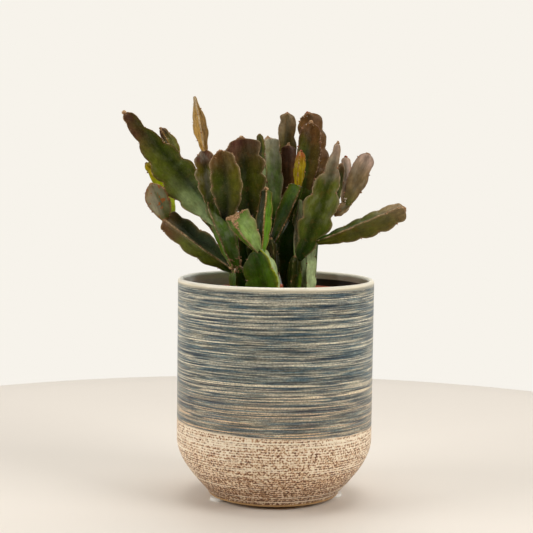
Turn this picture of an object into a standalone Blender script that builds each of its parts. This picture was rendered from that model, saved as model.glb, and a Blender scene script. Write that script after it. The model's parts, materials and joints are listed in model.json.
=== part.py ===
"""A potted cactus with flat and three-winged stems, in a ceramic cover pot.

Metres, +Z up. The pot's axis is at x = 0, y = 0 while the pieces are made, and the pads' flat
undersides are at z = 0. The front of the object looks along -Y. At the end one empty carries
everything, so that the middle of the whole object's box comes over the origin.
"""

import math
from collections import namedtuple

import bmesh
import bpy
import numpy as np
from mathutils import Matrix, Vector

MM = 0.001
GAP = 0.3 * MM

# Cover pot
POT_RADIUS = 67.5 * MM
POT_HEIGHT = 149.0 * MM
POT_WALL = 4.0 * MM
POT_FOOT_RADIUS = 45.5 * MM
POT_FOOT_STEP = 2.0 * MM
POT_TURN_HEIGHT = 39.0 * MM
POT_FLOOR = 7.0 * MM
POT_INNER_FLOOR_RADIUS = 44.0 * MM
FOOT_RING_WIDTH = 10.0 * MM
FOOT_RING_DEPTH = 1.2 * MM
FOOT_RING_SLOPE = 0.8 * MM
FOOT_CHAMFER = 0.6 * MM
FOOT_UNDERCUT = 0.4 * MM
INNER_TURN_POINTS = 6
LIP_POINTS = 6
OUTER_TURN_POINTS = 9
POT_SIDES = 40

# Pads under the foot ring
PAD_RADIUS = 6.5 * MM
PAD_THICKNESS = 2.2 * MM
PAD_CIRCLE = 41.2 * MM
PAD_SIDES = 20
PAD_ANGLES = {"pad_left": 207.0, "pad_right": -4.0, "pad_back": 101.0}

# Nursery pot, standing on the cover pot's floor
NURSERY_RIM_RADIUS = 60.0 * MM
NURSERY_FOOT_RADIUS = 42.0 * MM
NURSERY_RIM_BELOW = 10.0 * MM
NURSERY_WALL = 1.4 * MM
NURSERY_COLLAR = 1.6 * MM
NURSERY_COLLAR_HEIGHT = 9.0 * MM
NURSERY_COLLAR_DRAFT = 0.3 * MM
DRAIN_RADIUS = 4.0 * MM
DRAIN_CIRCLE = 26.0 * MM
DRAIN_COUNT = 6
HOLE_SIDES = 12

# Soil
SOIL_BELOW_RIM = 8.0 * MM
SOIL_CLEARANCE = 3 * GAP
STEM_HOLE_CLEARANCE = 1.5 * GAP
ROUND_SIDES = 32

# Stems, all in millimetres until they are turned into meshes
PEG_RADIUS = 3.2
PEG_DEPTH = 18.0
PEG_SIDES = 8
PEG_RISE = 3.0
FOOT_ABOVE_SOIL = 2.5
NECK = 2.3
BLADE_EDGE = 0.5
LEAST_REACH = 1.1
LEAST_TIP = 0.3
NOTCH_DEPTH = 0.15
NOTCHES_FROM = 0.12
TOOTH_POWER = 0.6
VALLEY_SHARE = 0.75
STATIONS_PER_LOBE = 3

POT_BASE = PAD_THICKNESS + GAP
POT_RIM = POT_BASE + POT_HEIGHT
NURSERY_BASE = POT_BASE + POT_FLOOR + GAP
NURSERY_RIM = POT_RIM - NURSERY_RIM_BELOW
SOIL_TOP = NURSERY_RIM - SOIL_BELOW_RIM

# Section of a segment: the angle and relative reach of each wing, then the valleys' radii (mm),
# and which wings lie to its left and right. Angles are counted from the segment's right-hand
# side towards the side that it faces.
Form = namedtuple("Form", "wings valleys left right")
FORMS = {
    "flat": Form(((0, 1.0), (180, 1.0)), (2.1, 2.1), 1, 0),
    "trough": Form(((14, 1.0), (166, 1.0), (270, 0.38)), (1.5, 2.4, 2.4), 1, 0),
    "ridge": Form(((90, 0.85), (208, 1.0), (332, 1.0)), (2.9, 2.7, 2.9), 1, 2),
}

# One segment. A rooted one has no parent, and foot is its (x, y) at the soil. Any other one
# grows from its parent's core or margin: foot is how far along the parent, how far out on its
# right (+) or left (-) wing, in parts of that wing's reach, and where a third number follows,
# how far behind the wing (mm). facing is the direction of its face in degrees, 0 to the front
# and 90 to the right, and how far the face looks up. lobes is the number of rounded teeth, peak
# where it is widest, taper the width at the end against the widest, blunt how square the end
# is, and bow pulls the middle of its axis aside.
Segment = namedtuple(
    "Segment", "name parent foot tip width form facing lobes peak taper blunt bow"
)


def segment(name, parent, foot, tip, width, form="flat", facing=(0, 0), lobes=4,
            peak=0.5, taper=0.8, blunt=0.0, bow=(0, 0, 0)):
    """A row of the plant's table, with the usual values filled in."""
    return Segment(name, parent, foot, tip, width, form, facing, lobes, peak, taper, blunt, bow)


STEMS = {
    "stem_long_left": [
        segment("base", None, (-25, -23), (-26, -24, 161), 15, "ridge", (-14, 0), 2, 0.5, 0.8),
        segment("fork", "base", (0.8, 0.0), (-46, -22, 204), 16, "ridge", (-20, 0), 4, 0.5, 0.8),
        segment("long", "fork", (0.67, 0.1), (-104.3, -5, 263), 28, "trough", (-4, 10), 6,
                0.39, 0.32, 0.0, (-0.9, 9, 0.2)),
        segment("behind", "long", (0.52, 0.5, 2.2), (-80.5, 5, 253), 11, "ridge", (-10, 0), 3,
                0.5, 0.6, 0.0, (1, 3, 0.5)),
        segment("dark", "fork", (0.95, 0.0), (-49, -22, 239), 14, "trough", (-14, 0), 4,
                0.6, 0.85),
        segment("pale", "dark", (0.97, 0.0), (-56, -19, 274), 11, "ridge", (22, 0), 3,
                0.5, 0.25),
        segment("front", "fork", (0.7, 0.8), (-38.5, -31, 238), 22, "trough", (-4, 0), 5,
                0.52, 0.8, 0.2, (3, -5, 0)),
    ],
    "stem_low_left": [
        segment("base", None, (-27, -5), (-28, -7, 160), 12, "ridge", (-10, 0), 2, 0.5, 0.8),
        segment("arching", "base", (0.85, -0.2), (-76.3, -13, 191.8), 22.5, "ridge", (-8, 8), 4,
                0.5, 0.85, 0.6),
        segment("withered", "arching", (0.97, 0.0), (-85, -16, 215.5), 17, "flat", (-12, 0), 2,
                0.55, 0.75),
        segment("bright", "arching", (0.93, 0.2), (-91, 8, 229), 10.5, "flat", (10, 0), 3,
                0.5, 0.6, 0.0, (4, 8, 0)),
    ],
    "stem_front": [
        segment("base", None, (0, -34), (-12.3, -38, 174), 31, "ridge", (32, 0), 3, 0.42, 0.5),
        segment("cut", "base", (0.93, 0.0), (-28, -46, 196), 20, "ridge", (-20, 0), 3,
                0.75, 1.0, 0.85),
        segment("rear", "base", (0.88, 0.1), (-7.5, -27, 213), 12.5, "ridge", (2, 0), 4,
                0.5, 0.7, 0.6),
    ],
    "stem_centre": [
        segment("base", None, (-10, 0), (-17, 2, 188), 16, "flat", (38, 0), 3, 0.5, 0.8),
        segment("broad", "base", (0.93, 0.0), (-25, 0, 247), 29, "trough", (-2, 0), 5,
                0.64, 0.88, 0.8),
        segment("peak", "broad", (0.62, 0.4, 2.2), (-12.5, 6.5, 250), 9.5, "flat", (12, 0), 2,
                0.5, 0.5, 0.0, (2, 2, 0)),
    ],
    "stem_centre_grey": [
        segment("base", None, (-1, 12), (-2, 15, 192), 14, "ridge", (150, 0), 3, 0.5, 0.8),
        segment("waxy", "base", (0.92, 0.0), (-7.2, 15, 247.5), 18, "ridge", (-22, 0), 4,
                0.6, 0.95, 0.7),
    ],
    "stem_slant": [
        segment("base", None, (-1, -13), (-3.5, -15.5, 180), 11, "ridge", (10, 0), 3, 0.5, 0.8),
        segment("slanting", "base", (0.9, 0.2), (14.5, -10, 216), 14, "ridge", (24, 0), 3,
                0.6, 0.95, 0.6),
        segment("yellow", "slanting", (0.96, 0.0), (15.5, -10, 238.5), 8.5, "ridge", (-12, 0),
                3, 0.45, 0.4),
    ],
    "stem_right": [
        segment("base", None, (10.5, -14), (12.3, -20, 168), 12.5, "ridge", (-18, 0), 2,
                0.5, 0.7),
        segment("leafy", "base", (0.93, 0.6), (40, -19, 244.5), 24.5, "trough", (4, 0), 5,
                0.42, 0.3, 0.0, (3.5, 0, 0)),
        segment("pale_wing", "base", (0.9, 0.3), (15.5, -9, 206), 8, "ridge", (-30, 0), 2,
                0.5, 0.5, 0.3),
        segment("reaching", "leafy", (0.19, 0.85), (84.6, -27, 201.5), 19, "ridge", (-4, 22),
                5, 0.7, 0.85, 0.5, (0, 0, -1.2)),
        segment("bridge", "leafy", (0.44, 0.88, 1.2), (48.5, -15, 203.5), 6.5, "flat", (0, -10),
                2, 0.5, 0.7),
        segment("outer", "bridge", (0.78, 0.1), (60.5, -17, 237.5), 14, "flat", (6, 0), 3,
                0.55, 0.85),
        segment("small_dark", "leafy", (0.56, 0.85, 1.5), (43.5, -9, 230.5), 8.5, "flat",
                (10, 0), 2, 0.5, 0.6, 0.0, (0, 1, 0)),
        segment("small_rear", "bridge", (0.75, 0.2), (47, 6, 235), 8.5, "flat", (-8, 0), 2,
                0.6, 0.8, 0.0, (0, 4, 0)),
    ],
    "stem_upright": [
        segment("base", None, (22, -11), (21.5, -8, 176), 12.5, "ridge", (-14, 0), 3, 0.5, 0.8),
        segment("middle", "base", (0.92, 0.0), (18.5, 0, 214), 14, "flat", (0, 0), 3, 0.6, 0.95),
        segment("brown", "middle", (0.85, 0.0), (22.5, 3, 258), 17, "trough", (4, 0), 4,
                0.6, 0.8, 0.0),
    ],
    "stem_tall_right": [
        segment("base", None, (21, 15), (22, 18, 206), 15, "flat", (50, 0), 4, 0.5, 0.8),
        segment("top", "base", (0.95, 0.0), (20.5, 18, 265), 21, "flat", (12, 0), 5,
                0.5, 0.85, 0.4, (4, 0, 0)),
    ],
    "stem_tall": [
        segment("base", None, (9, 28), (7, 30, 202), 17, "ridge", (176, 0), 4, 0.5, 0.8),
        segment("top", "base", (0.93, 0.0), (6.5, 29, 265), 13, "flat", (0, 0), 4,
                0.6, 0.9, 0.5),
        segment("dark", "base", (0.82, 0.0), (7.5, 18, 242.5), 12.5, "flat", (4, 0), 3,
                0.55, 0.9, 0.5, (0, -4, 0)),
    ],
    "stem_side_left": [
        segment("base", None, (-29, 9), (-33, 12, 178), 18, "flat", (268, 0), 3, 0.5, 0.8),
        segment("upper", "base", (0.92, 0.0), (-38, 18, 216), 19, "flat", (258, 0), 4,
                0.55, 0.8, 0.0, (0, 2, 0)),
    ],
    "stem_side_right": [
        segment("base", None, (25, 2), (27, 4, 180), 15, "flat", (86, 0), 3, 0.5, 0.8),
        segment("upper", "base", (0.92, 0.0), (31, 9, 219), 15, "trough", (80, 0), 4,
                0.55, 0.75),
    ],
    "stem_inner": [
        segment("base", None, (-19, 21), (-22, 25, 194), 18, "ridge", (196, 0), 4, 0.5, 0.8),
        segment("upper", "base", (0.93, 0.0), (-25, 27, 240), 19, "flat", (216, 0), 4,
                0.55, 0.85, 0.2),
    ],
    "stem_back_left": [
        segment("base", None, (-23, 32), (-30, 44, 188), 19, "trough", (212, 0), 4, 0.5, 0.8),
        segment("upper", "base", (0.92, 0.0), (-44, 50, 228), 20, "trough", (206, 0), 4,
                0.55, 0.8, 0.2),
        segment("side", "base", (0.7, 0.7), (-61, 30, 205), 15, "ridge", (240, 20), 3,
                0.55, 0.6),
    ],
    "stem_back_middle": [
        segment("base", None, (-7, 41), (-12, 56, 186), 22, "ridge", (178, 0), 4, 0.5, 0.8),
        segment("upper", "base", (0.93, 0.0), (-18, 66, 224), 20, "trough", (184, 0), 4,
                0.55, 0.8),
        segment("young", "base", (0.88, -0.6), (3, 64, 214), 12, "ridge", (150, 0), 3,
                0.45, 0.4),
        segment("low", "base", (0.62, 0.7), (-30, 74, 176), 15, "ridge", (196, 40), 3,
                0.55, 0.6),
    ],
    "stem_back_right": [
        segment("base", None, (17, 38), (22, 53, 182), 18, "trough", (150, 0), 4, 0.5, 0.8),
        segment("upper", "base", (0.92, 0.0), (30, 60, 224), 19, "flat", (142, 0), 4,
                0.5, 0.75),
        segment("low", "base", (0.6, -0.7), (24, 77, 177), 14, "ridge", (160, 30), 3,
                0.55, 0.6),
    ],
}

STEM_COLOURS = {
    "stem_long_left": (0.16, 0.23, 0.06),
    "stem_low_left": (0.13, 0.13, 0.05),
    "stem_front": (0.17, 0.25, 0.08),
    "stem_centre": (0.12, 0.10, 0.05),
    "stem_centre_grey": (0.20, 0.22, 0.15),
    "stem_slant": (0.14, 0.20, 0.03),
    "stem_right": (0.11, 0.14, 0.05),
    "stem_upright": (0.13, 0.12, 0.05),
    "stem_tall_right": (0.10, 0.07, 0.04),
    "stem_tall": (0.13, 0.10, 0.06),
    "stem_side_left": (0.10, 0.13, 0.05),
    "stem_side_right": (0.12, 0.12, 0.05),
    "stem_inner": (0.12, 0.11, 0.05),
    "stem_back_left": (0.09, 0.12, 0.04),
    "stem_back_middle": (0.12, 0.15, 0.05),
    "stem_back_right": (0.11, 0.13, 0.05),
}


def clear_scene():
    for obj in list(bpy.data.objects):
        bpy.data.objects.remove(obj, do_unlink=True)


def make_collection(name):
    collection = bpy.data.collections.new(name)
    bpy.context.scene.collection.children.link(collection)
    return collection


def make_material(name, colour, roughness, metallic=0.0):
    material = bpy.data.materials.new(name)
    material.use_nodes = True
    shader = material.node_tree.nodes["Principled BSDF"]
    shader.inputs["Base Color"].default_value = (*colour, 1.0)
    shader.inputs["Roughness"].default_value = roughness
    shader.inputs["Metallic"].default_value = metallic
    return material


def mesh_object(name, bm, collection, material=None):
    """Turn a bmesh into a named object in a collection."""
    mesh = bpy.data.meshes.new(name)
    bm.to_mesh(mesh)
    bm.free()
    obj = bpy.data.objects.new(name, mesh)
    collection.objects.link(obj)
    if material is not None:
        mesh.materials.append(material)
    return obj


def turned(name, profile, sides, collection, material):
    """Turn a profile of (radius, z) points, which runs down its outer side, about the Z axis."""
    bm = bmesh.new()
    verts = [bm.verts.new((radius, 0.0, z)) for radius, z in profile]
    for first, second in zip(verts, verts[1:]):
        bm.edges.new((first, second))
    obj = mesh_object(name, bm, collection, material)
    screw = obj.modifiers.new("Turn", "SCREW")
    screw.axis = "Z"
    screw.angle = math.tau
    screw.steps = sides
    screw.render_steps = sides
    screw.use_merge_vertices = True
    screw.merge_threshold = 0.00005
    screw.use_smooth_shade = True
    return obj


def smooth_round(obj, angle=35.0):
    obj.data.shade_smooth()
    obj.data.set_sharp_from_angle(angle=math.radians(angle))


def apply_modifiers(obj):
    """Replace the object's mesh by what its modifiers make of it."""
    graph = bpy.context.evaluated_depsgraph_get()
    mesh = bpy.data.meshes.new_from_object(obj.evaluated_get(graph))
    obj.modifiers.clear()
    obj.data = mesh


def quarter_turn(start, end, count):
    """Points from start to end, (radius, z), that set off slanting and end upright."""
    (r0, z0), (r1, z1) = start, end
    return [
        (r0 + (r1 - r0) * math.sin(0.5 * math.pi * t), z0 + (z1 - z0) * t)
        for t in np.linspace(0.0, 1.0, count)
    ]


def cover_pot(collection):
    """One closed profile: floor, inner wall, rounded lip, outer wall, foot ring, underside."""
    inner = POT_RADIUS - POT_WALL
    lip = 0.5 * POT_WALL
    floor = POT_BASE + POT_FLOOR
    turn = POT_BASE + POT_TURN_HEIGHT
    ring_inner = POT_FOOT_RADIUS - FOOT_RING_WIDTH
    profile = [(0.0, floor)]
    inner_foot = (POT_INNER_FLOOR_RADIUS, floor)
    profile += quarter_turn(inner_foot, (inner, turn), INNER_TURN_POINTS)
    for angle in np.linspace(math.pi, 0.0, LIP_POINTS):
        radius = inner + lip + lip * math.cos(angle)
        profile.append((radius, POT_RIM - lip + lip * math.sin(angle)))
    outer_foot = (POT_FOOT_RADIUS + FOOT_UNDERCUT, POT_BASE + POT_FOOT_STEP)
    profile += quarter_turn(outer_foot, (POT_RADIUS, turn), OUTER_TURN_POINTS)[::-1]
    profile += [
        (POT_FOOT_RADIUS, POT_BASE + FOOT_CHAMFER),
        (POT_FOOT_RADIUS - FOOT_CHAMFER, POT_BASE),
        (ring_inner, POT_BASE),
        (ring_inner - FOOT_RING_SLOPE, POT_BASE + FOOT_RING_DEPTH),
        (0.0, POT_BASE + FOOT_RING_DEPTH),
    ]
    material = make_material("glazed_ceramic", (0.42, 0.44, 0.42), 0.25)
    pot = turned("pot", profile, POT_SIDES, collection, material)
    smooth_round(pot)
    return pot


def foot_pads(collection):
    material = make_material("white_felt", (0.85, 0.84, 0.80), 0.9)
    for name, degrees in PAD_ANGLES.items():
        angle = math.radians(degrees)
        bm = bmesh.new()
        bmesh.ops.create_cone(bm, cap_ends=True, segments=PAD_SIDES, radius1=PAD_RADIUS,
                              radius2=PAD_RADIUS, depth=PAD_THICKNESS)
        pad = mesh_object(name, bm, collection, material)
        pad.location = (
            PAD_CIRCLE * math.cos(angle),
            PAD_CIRCLE * math.sin(angle),
            0.5 * PAD_THICKNESS,
        )
        smooth_round(pad)


def nursery_radius(z):
    """Outer radius of the nursery pot's tapered wall at a height."""
    share = (z - NURSERY_BASE) / (NURSERY_RIM - NURSERY_BASE)
    top = NURSERY_RIM_RADIUS - NURSERY_COLLAR
    return NURSERY_FOOT_RADIUS + (top - NURSERY_FOOT_RADIUS) * share


def nursery_pot(collection, cutters):
    """A thin tapered pot with a collar at its rim and round drain holes in its floor."""
    collar_foot = NURSERY_RIM - NURSERY_COLLAR_HEIGHT
    inner_foot = NURSERY_FOOT_RADIUS - NURSERY_WALL
    profile = [
        (0.0, NURSERY_BASE + NURSERY_WALL),
        (inner_foot, NURSERY_BASE + NURSERY_WALL),
        (nursery_radius(NURSERY_RIM) - NURSERY_WALL, NURSERY_RIM),
        (NURSERY_RIM_RADIUS, NURSERY_RIM),
        (NURSERY_RIM_RADIUS - NURSERY_COLLAR_DRAFT, collar_foot),
        (nursery_radius(collar_foot), collar_foot),
        (NURSERY_FOOT_RADIUS, NURSERY_BASE),
        (0.0, NURSERY_BASE),
    ]
    material = make_material("terracotta_plastic", (0.45, 0.12, 0.05), 0.5)
    pot = turned("nursery_pot", profile, ROUND_SIDES, collection, material)
    bm = bmesh.new()
    for index in range(DRAIN_COUNT):
        angle = math.tau * index / DRAIN_COUNT
        place = Matrix.Translation((
            DRAIN_CIRCLE * math.cos(angle),
            DRAIN_CIRCLE * math.sin(angle),
            NURSERY_BASE,
        ))
        bmesh.ops.create_cone(bm, cap_ends=True, segments=HOLE_SIDES, radius1=DRAIN_RADIUS,
                              radius2=DRAIN_RADIUS, depth=8 * NURSERY_WALL, matrix=place)
    drains = mesh_object("drain_cutter", bm, cutters)
    hide_cutter(drains)
    cut = pot.modifiers.new("Drains", "BOOLEAN")
    cut.operation = "DIFFERENCE"
    cut.object = drains
    smooth_round(pot)
    return pot


def hide_cutter(obj):
    obj.hide_render = True
    obj.display_type = "WIRE"


def soil(collection, cutters):
    """The nursery pot's fill, with a plain round hole for each stem's foot."""
    bottom = NURSERY_BASE + NURSERY_WALL + GAP
    foot_radius = NURSERY_FOOT_RADIUS - NURSERY_WALL - SOIL_CLEARANCE
    top_radius = nursery_radius(SOIL_TOP) - NURSERY_WALL - SOIL_CLEARANCE
    profile = [(0.0, SOIL_TOP), (top_radius, SOIL_TOP), (foot_radius, bottom), (0.0, bottom)]
    material = make_material("potting_soil", (0.035, 0.022, 0.014), 0.95)
    fill = turned("soil", profile, ROUND_SIDES, collection, material)
    depth = 2 * (PEG_DEPTH * MM + GAP)
    radius = PEG_RADIUS * MM + STEM_HOLE_CLEARANCE
    bm = bmesh.new()
    for rows in STEMS.values():
        x, y = rows[0].foot
        place = Matrix.Translation((x * MM, y * MM, SOIL_TOP + FOOT_ABOVE_SOIL * MM))
        bmesh.ops.create_cone(bm, cap_ends=True, segments=HOLE_SIDES, radius1=radius,
                              radius2=radius, depth=depth, matrix=place)
    holes = mesh_object("stem_hole_cutter", bm, cutters)
    hide_cutter(holes)
    cut = fill.modifiers.new("Holes", "BOOLEAN")
    cut.operation = "DIFFERENCE"
    cut.object = holes
    return fill


class Axis:
    """The bent middle line of a segment, and the frame that its section is drawn in."""

    def __init__(self, row, base):
        self.row = row
        self.base = np.array(base, float)
        self.tip = np.array(row.tip, float)
        self.middle = 0.5 * (self.base + self.tip) + 2.0 * np.array(row.bow, float)
        self.length = float(np.linalg.norm(self.tip - self.base))

    def point(self, t):
        a, b = (1 - t) ** 2, 2 * t * (1 - t)
        return a * self.base + b * self.middle + t * t * self.tip

    def frame(self, t):
        """Side, face and run directions, at right angles to each other."""
        run = 2 * (1 - t) * (self.middle - self.base) + 2 * t * (self.tip - self.middle)
        run /= np.linalg.norm(run)
        turn, lift = (math.radians(value) for value in self.row.facing)
        face = np.array((
            math.sin(turn) * math.cos(lift),
            -math.cos(turn) * math.cos(lift),
            math.sin(lift),
        ))
        face -= face.dot(run) * run
        face /= np.linalg.norm(face)
        return np.cross(run, face), face, run

    def wing(self, t, right):
        """The arm from the axis to the edge of the right or left wing."""
        form = FORMS[self.row.form]
        index = form.right if right else form.left
        degrees, share = form.wings[index]
        side, face, _ = self.frame(t)
        angle = math.radians(degrees)
        arm = math.cos(angle) * side + math.sin(angle) * face
        return share * self.reach(t, index / STATIONS_PER_LOBE) * arm

    def reach(self, t, phase=0.0):
        """Distance from the axis to a wing's edge, with its notches between round teeth."""
        row = self.row
        half = 0.5 * row.width
        if t < row.peak:
            reach = NECK + (half - NECK) * math.sin(0.5 * math.pi * t / row.peak)
        else:
            fall = 0.5 + 0.5 * math.cos(math.pi * (t - row.peak) / (1 - row.peak))
            reach = half * (row.taper + (1 - row.taper) * fall)
        tooth = abs(math.sin(math.pi * (row.lobes * t + phase))) ** TOOTH_POWER
        grown = min(1.0, t / NOTCHES_FROM)
        reach *= 1 - NOTCH_DEPTH * grown * (1 - tooth)
        end = half * row.taper * (1 - row.blunt)
        left = (1 - t) * self.length
        if left < end:
            reach *= max(LEAST_TIP, math.sqrt(1 - (1 - left / end) ** 2))
        return reach


def segment_mesh(axis):
    """Loft the winged section along the axis. Each wing ends in an edge of two points."""
    row = axis.row
    form = FORMS[row.form]
    steps = STATIONS_PER_LOBE * row.lobes
    wings = form.wings
    bm = bmesh.new()
    rings = []
    for t in np.linspace(0.0, 1.0, steps + 1):
        centre = axis.point(t)
        side, face, _ = axis.frame(t)
        ring = []
        for index, (degrees, share) in enumerate(wings):
            angle = math.radians(degrees)
            out = math.cos(angle) * side + math.sin(angle) * face
            across = -math.sin(angle) * side + math.cos(angle) * face
            reach = max(LEAST_REACH, share * axis.reach(t, index / STATIONS_PER_LOBE))
            reach = max(reach, min(NECK, axis.reach(t)))
            ring.append(bm.verts.new((centre + reach * out - BLADE_EDGE * across) * MM))
            ring.append(bm.verts.new((centre + reach * out + BLADE_EDGE * across) * MM))
            following = wings[(index + 1) % len(wings)][0]
            middle = math.radians(degrees + 0.5 * ((following - degrees) % 360))
            valley = min(form.valleys[index], VALLEY_SHARE * axis.reach(t))
            out = math.cos(middle) * side + math.sin(middle) * face
            ring.append(bm.verts.new((centre + valley * out) * MM))
        rings.append(ring)
    count = len(rings[0])
    for low, high in zip(rings, rings[1:]):
        for index in range(count):
            after = (index + 1) % count
            if index % 3 == 2:
                bm.faces.new((low[index], low[after], high[index]))
                bm.faces.new((low[after], high[after], high[index]))
            else:
                bm.faces.new((low[index], low[after], high[after]))
                bm.faces.new((low[index], high[after], high[index]))
    bm.faces.new(rings[0][::-1])
    bm.faces.new(rings[-1])
    bmesh.ops.recalc_face_normals(bm, faces=bm.faces)
    return bm


def stem_foot(row):
    """The round foot of a rooted stem, from inside the soil up into its first segment."""
    x, y = row.foot
    top = SOIL_TOP / MM + FOOT_ABOVE_SOIL + PEG_RISE
    bottom = SOIL_TOP / MM + FOOT_ABOVE_SOIL - PEG_DEPTH
    bm = bmesh.new()
    place = Matrix.Translation(Vector((x, y, 0.5 * (top + bottom))) * MM)
    bmesh.ops.create_cone(bm, cap_ends=True, segments=PEG_SIDES, radius1=PEG_RADIUS * MM,
                          radius2=PEG_RADIUS * MM, depth=(top - bottom) * MM, matrix=place)
    return bm


def stem_axes(rows):
    """Each segment's axis. A branch starts inside its parent's core or margin."""
    axes = {}
    for row in rows:
        if row.parent is None:
            base = (*row.foot, SOIL_TOP / MM + FOOT_ABOVE_SOIL)
        else:
            parent = axes[row.parent]
            along, aside, *behind = row.foot
            _, face, _ = parent.frame(along)
            base = parent.point(along) + abs(aside) * parent.wing(along, aside > 0)
            base -= sum(behind) * face
        axes[row.name] = Axis(row, base)
    return axes


def leafy_stem(name, rows, collection, colour):
    """One rooted stem: its segments and its foot, joined into one solid."""
    joints = bpy.data.collections.new(name + "_segments")
    bpy.context.scene.collection.children.link(joints)
    axes = stem_axes(rows)
    first = mesh_object(name, segment_mesh(axes[rows[0].name]), collection)
    mesh_object(name + "_foot", stem_foot(rows[0]), joints)
    for row in rows[1:]:
        mesh_object(f"{name}_{row.name}", segment_mesh(axes[row.name]), joints)
    union = first.modifiers.new("Join", "BOOLEAN")
    union.operation = "UNION"
    union.operand_type = "COLLECTION"
    union.collection = joints
    bpy.context.view_layer.update()
    apply_modifiers(first)
    for obj in list(joints.objects):
        bpy.data.objects.remove(obj, do_unlink=True)
    bpy.data.collections.remove(joints)
    first.data.materials.clear()
    first.data.materials.append(make_material(name + "_skin", colour, 0.4))
    smooth_round(first)
    return first


def centre_on_box(collection, cutters):
    """Hang everything on one empty, and bring the middle of the whole box over the origin."""
    graph = bpy.context.evaluated_depsgraph_get()
    low = np.full(3, np.inf)
    high = np.full(3, -np.inf)
    for obj in collection.objects:
        evaluated = obj.evaluated_get(graph)
        corners = np.array([obj.matrix_world @ vert.co for vert in evaluated.data.vertices])
        low = np.minimum(low, corners.min(axis=0))
        high = np.maximum(high, corners.max(axis=0))
    middle = 0.5 * (low + high)
    root = bpy.data.objects.new("root", None)
    bpy.context.scene.collection.objects.link(root)
    for obj in [*collection.objects, *cutters.objects]:
        obj.parent = root
    root.location = (-middle[0], -middle[1], 0.0)
    bpy.context.view_layer.update()


def main():
    clear_scene()
    parts = make_collection("potted_cactus")
    cutters = make_collection("cutters")
    cover_pot(parts)
    foot_pads(parts)
    nursery_pot(parts, cutters)
    soil(parts, cutters)
    for name, rows in STEMS.items():
        leafy_stem(name, rows, parts, STEM_COLOURS[name])
    bpy.context.view_layer.update()
    centre_on_box(parts, cutters)


main()
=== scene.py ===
# %% [markdown]
# # A potted mistletoe cactus
#
# This notebook dresses a finished solid model: a cactus with flat and three-winged stems, which
# stands in its plastic nursery pot inside a ceramic cover pot. The solids come first and stay
# where they are. Every new piece is worked out in the same place and at the same size, and then
# stands for the plainer solid in the picture.
#
# The first cell loads the solids.

import itertools
import json
import math
from collections import namedtuple

import bpy
import numpy as np
from mathutils import Matrix, Vector

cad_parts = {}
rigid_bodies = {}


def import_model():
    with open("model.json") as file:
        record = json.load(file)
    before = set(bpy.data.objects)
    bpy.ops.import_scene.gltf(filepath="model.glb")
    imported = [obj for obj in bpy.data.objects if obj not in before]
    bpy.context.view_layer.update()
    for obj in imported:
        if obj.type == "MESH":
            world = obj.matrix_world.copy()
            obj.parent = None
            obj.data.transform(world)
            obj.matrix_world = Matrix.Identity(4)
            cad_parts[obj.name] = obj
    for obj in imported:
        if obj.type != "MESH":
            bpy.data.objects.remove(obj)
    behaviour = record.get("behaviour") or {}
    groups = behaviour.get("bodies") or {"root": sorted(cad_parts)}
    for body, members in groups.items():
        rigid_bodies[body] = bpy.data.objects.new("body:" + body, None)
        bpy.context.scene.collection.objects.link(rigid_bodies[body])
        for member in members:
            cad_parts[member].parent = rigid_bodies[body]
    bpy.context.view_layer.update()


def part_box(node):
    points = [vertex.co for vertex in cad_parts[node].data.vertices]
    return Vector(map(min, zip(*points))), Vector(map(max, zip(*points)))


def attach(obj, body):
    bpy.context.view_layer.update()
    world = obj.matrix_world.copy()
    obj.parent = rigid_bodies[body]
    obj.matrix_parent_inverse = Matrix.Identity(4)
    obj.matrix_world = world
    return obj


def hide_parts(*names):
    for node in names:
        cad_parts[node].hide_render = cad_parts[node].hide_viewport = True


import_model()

# %% [markdown]
# ## Where things stand
#
# Lengths of the pot and the plant are easier to read in millimetres, counted from the pot's
# axis. The axis is the middle of the cover pot's box, so it is measured and not typed in. One
# helper turns such points into metres in the model's own frame.

# %% The pot's axis, and millimetres to metres
MM = 0.001
pot_low, pot_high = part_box("pot")
AXIS = np.array([0.5 * (pot_low.x + pot_high.x), 0.5 * (pot_low.y + pot_high.y), 0.0])


def placed(points):
    """Points in millimetres about the pot's axis become metres in the model's frame."""
    return np.asarray(points, float) * MM + AXIS


print("pot axis, mm:", np.round(AXIS / MM, 2), "pot top, mm:", round(pot_high.z / MM, 2))

# %% [markdown]
# ## The camera
#
# A long lens about a metre away, a little above the rim and tilted down by five degrees, sees
# the pot as a photographer would. The three columns of the camera's matrix are its right, up
# and backward directions. The pitch turns the last two about the right one, and a small roll
# then turns the picture about the line of sight.

# %% Camera
CAMERA_PLACE = (-6.68, -940.3, 240.9)
PITCH = math.radians(4.96)
ROLL = math.radians(0.73)
PICTURE_SIZE = 533
FOCAL_PIXELS = 1370.1

ahead = np.array([0.0, math.cos(PITCH), -math.sin(PITCH)])
level_right = np.array([1.0, 0.0, 0.0])
level_up = np.array([0.0, math.sin(PITCH), math.cos(PITCH)])
right = math.cos(ROLL) * level_right + math.sin(ROLL) * level_up
up = math.cos(ROLL) * level_up - math.sin(ROLL) * level_right

lens = bpy.data.cameras.new("camera")
lens.sensor_width = 36.0
lens.lens = lens.sensor_width * FOCAL_PIXELS / PICTURE_SIZE
lens.clip_start = 0.05
lens.clip_end = 20.0
camera = bpy.data.objects.new("camera", lens)
camera_matrix = np.eye(4)
camera_matrix[:3, 0] = right
camera_matrix[:3, 1] = up
camera_matrix[:3, 2] = -ahead
camera_matrix[:3, 3] = placed(CAMERA_PLACE)
camera.matrix_world = Matrix(camera_matrix.tolist())
bpy.context.scene.collection.objects.link(camera)
bpy.context.scene.camera = camera
print("lens, mm:", round(lens.lens, 1))

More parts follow.
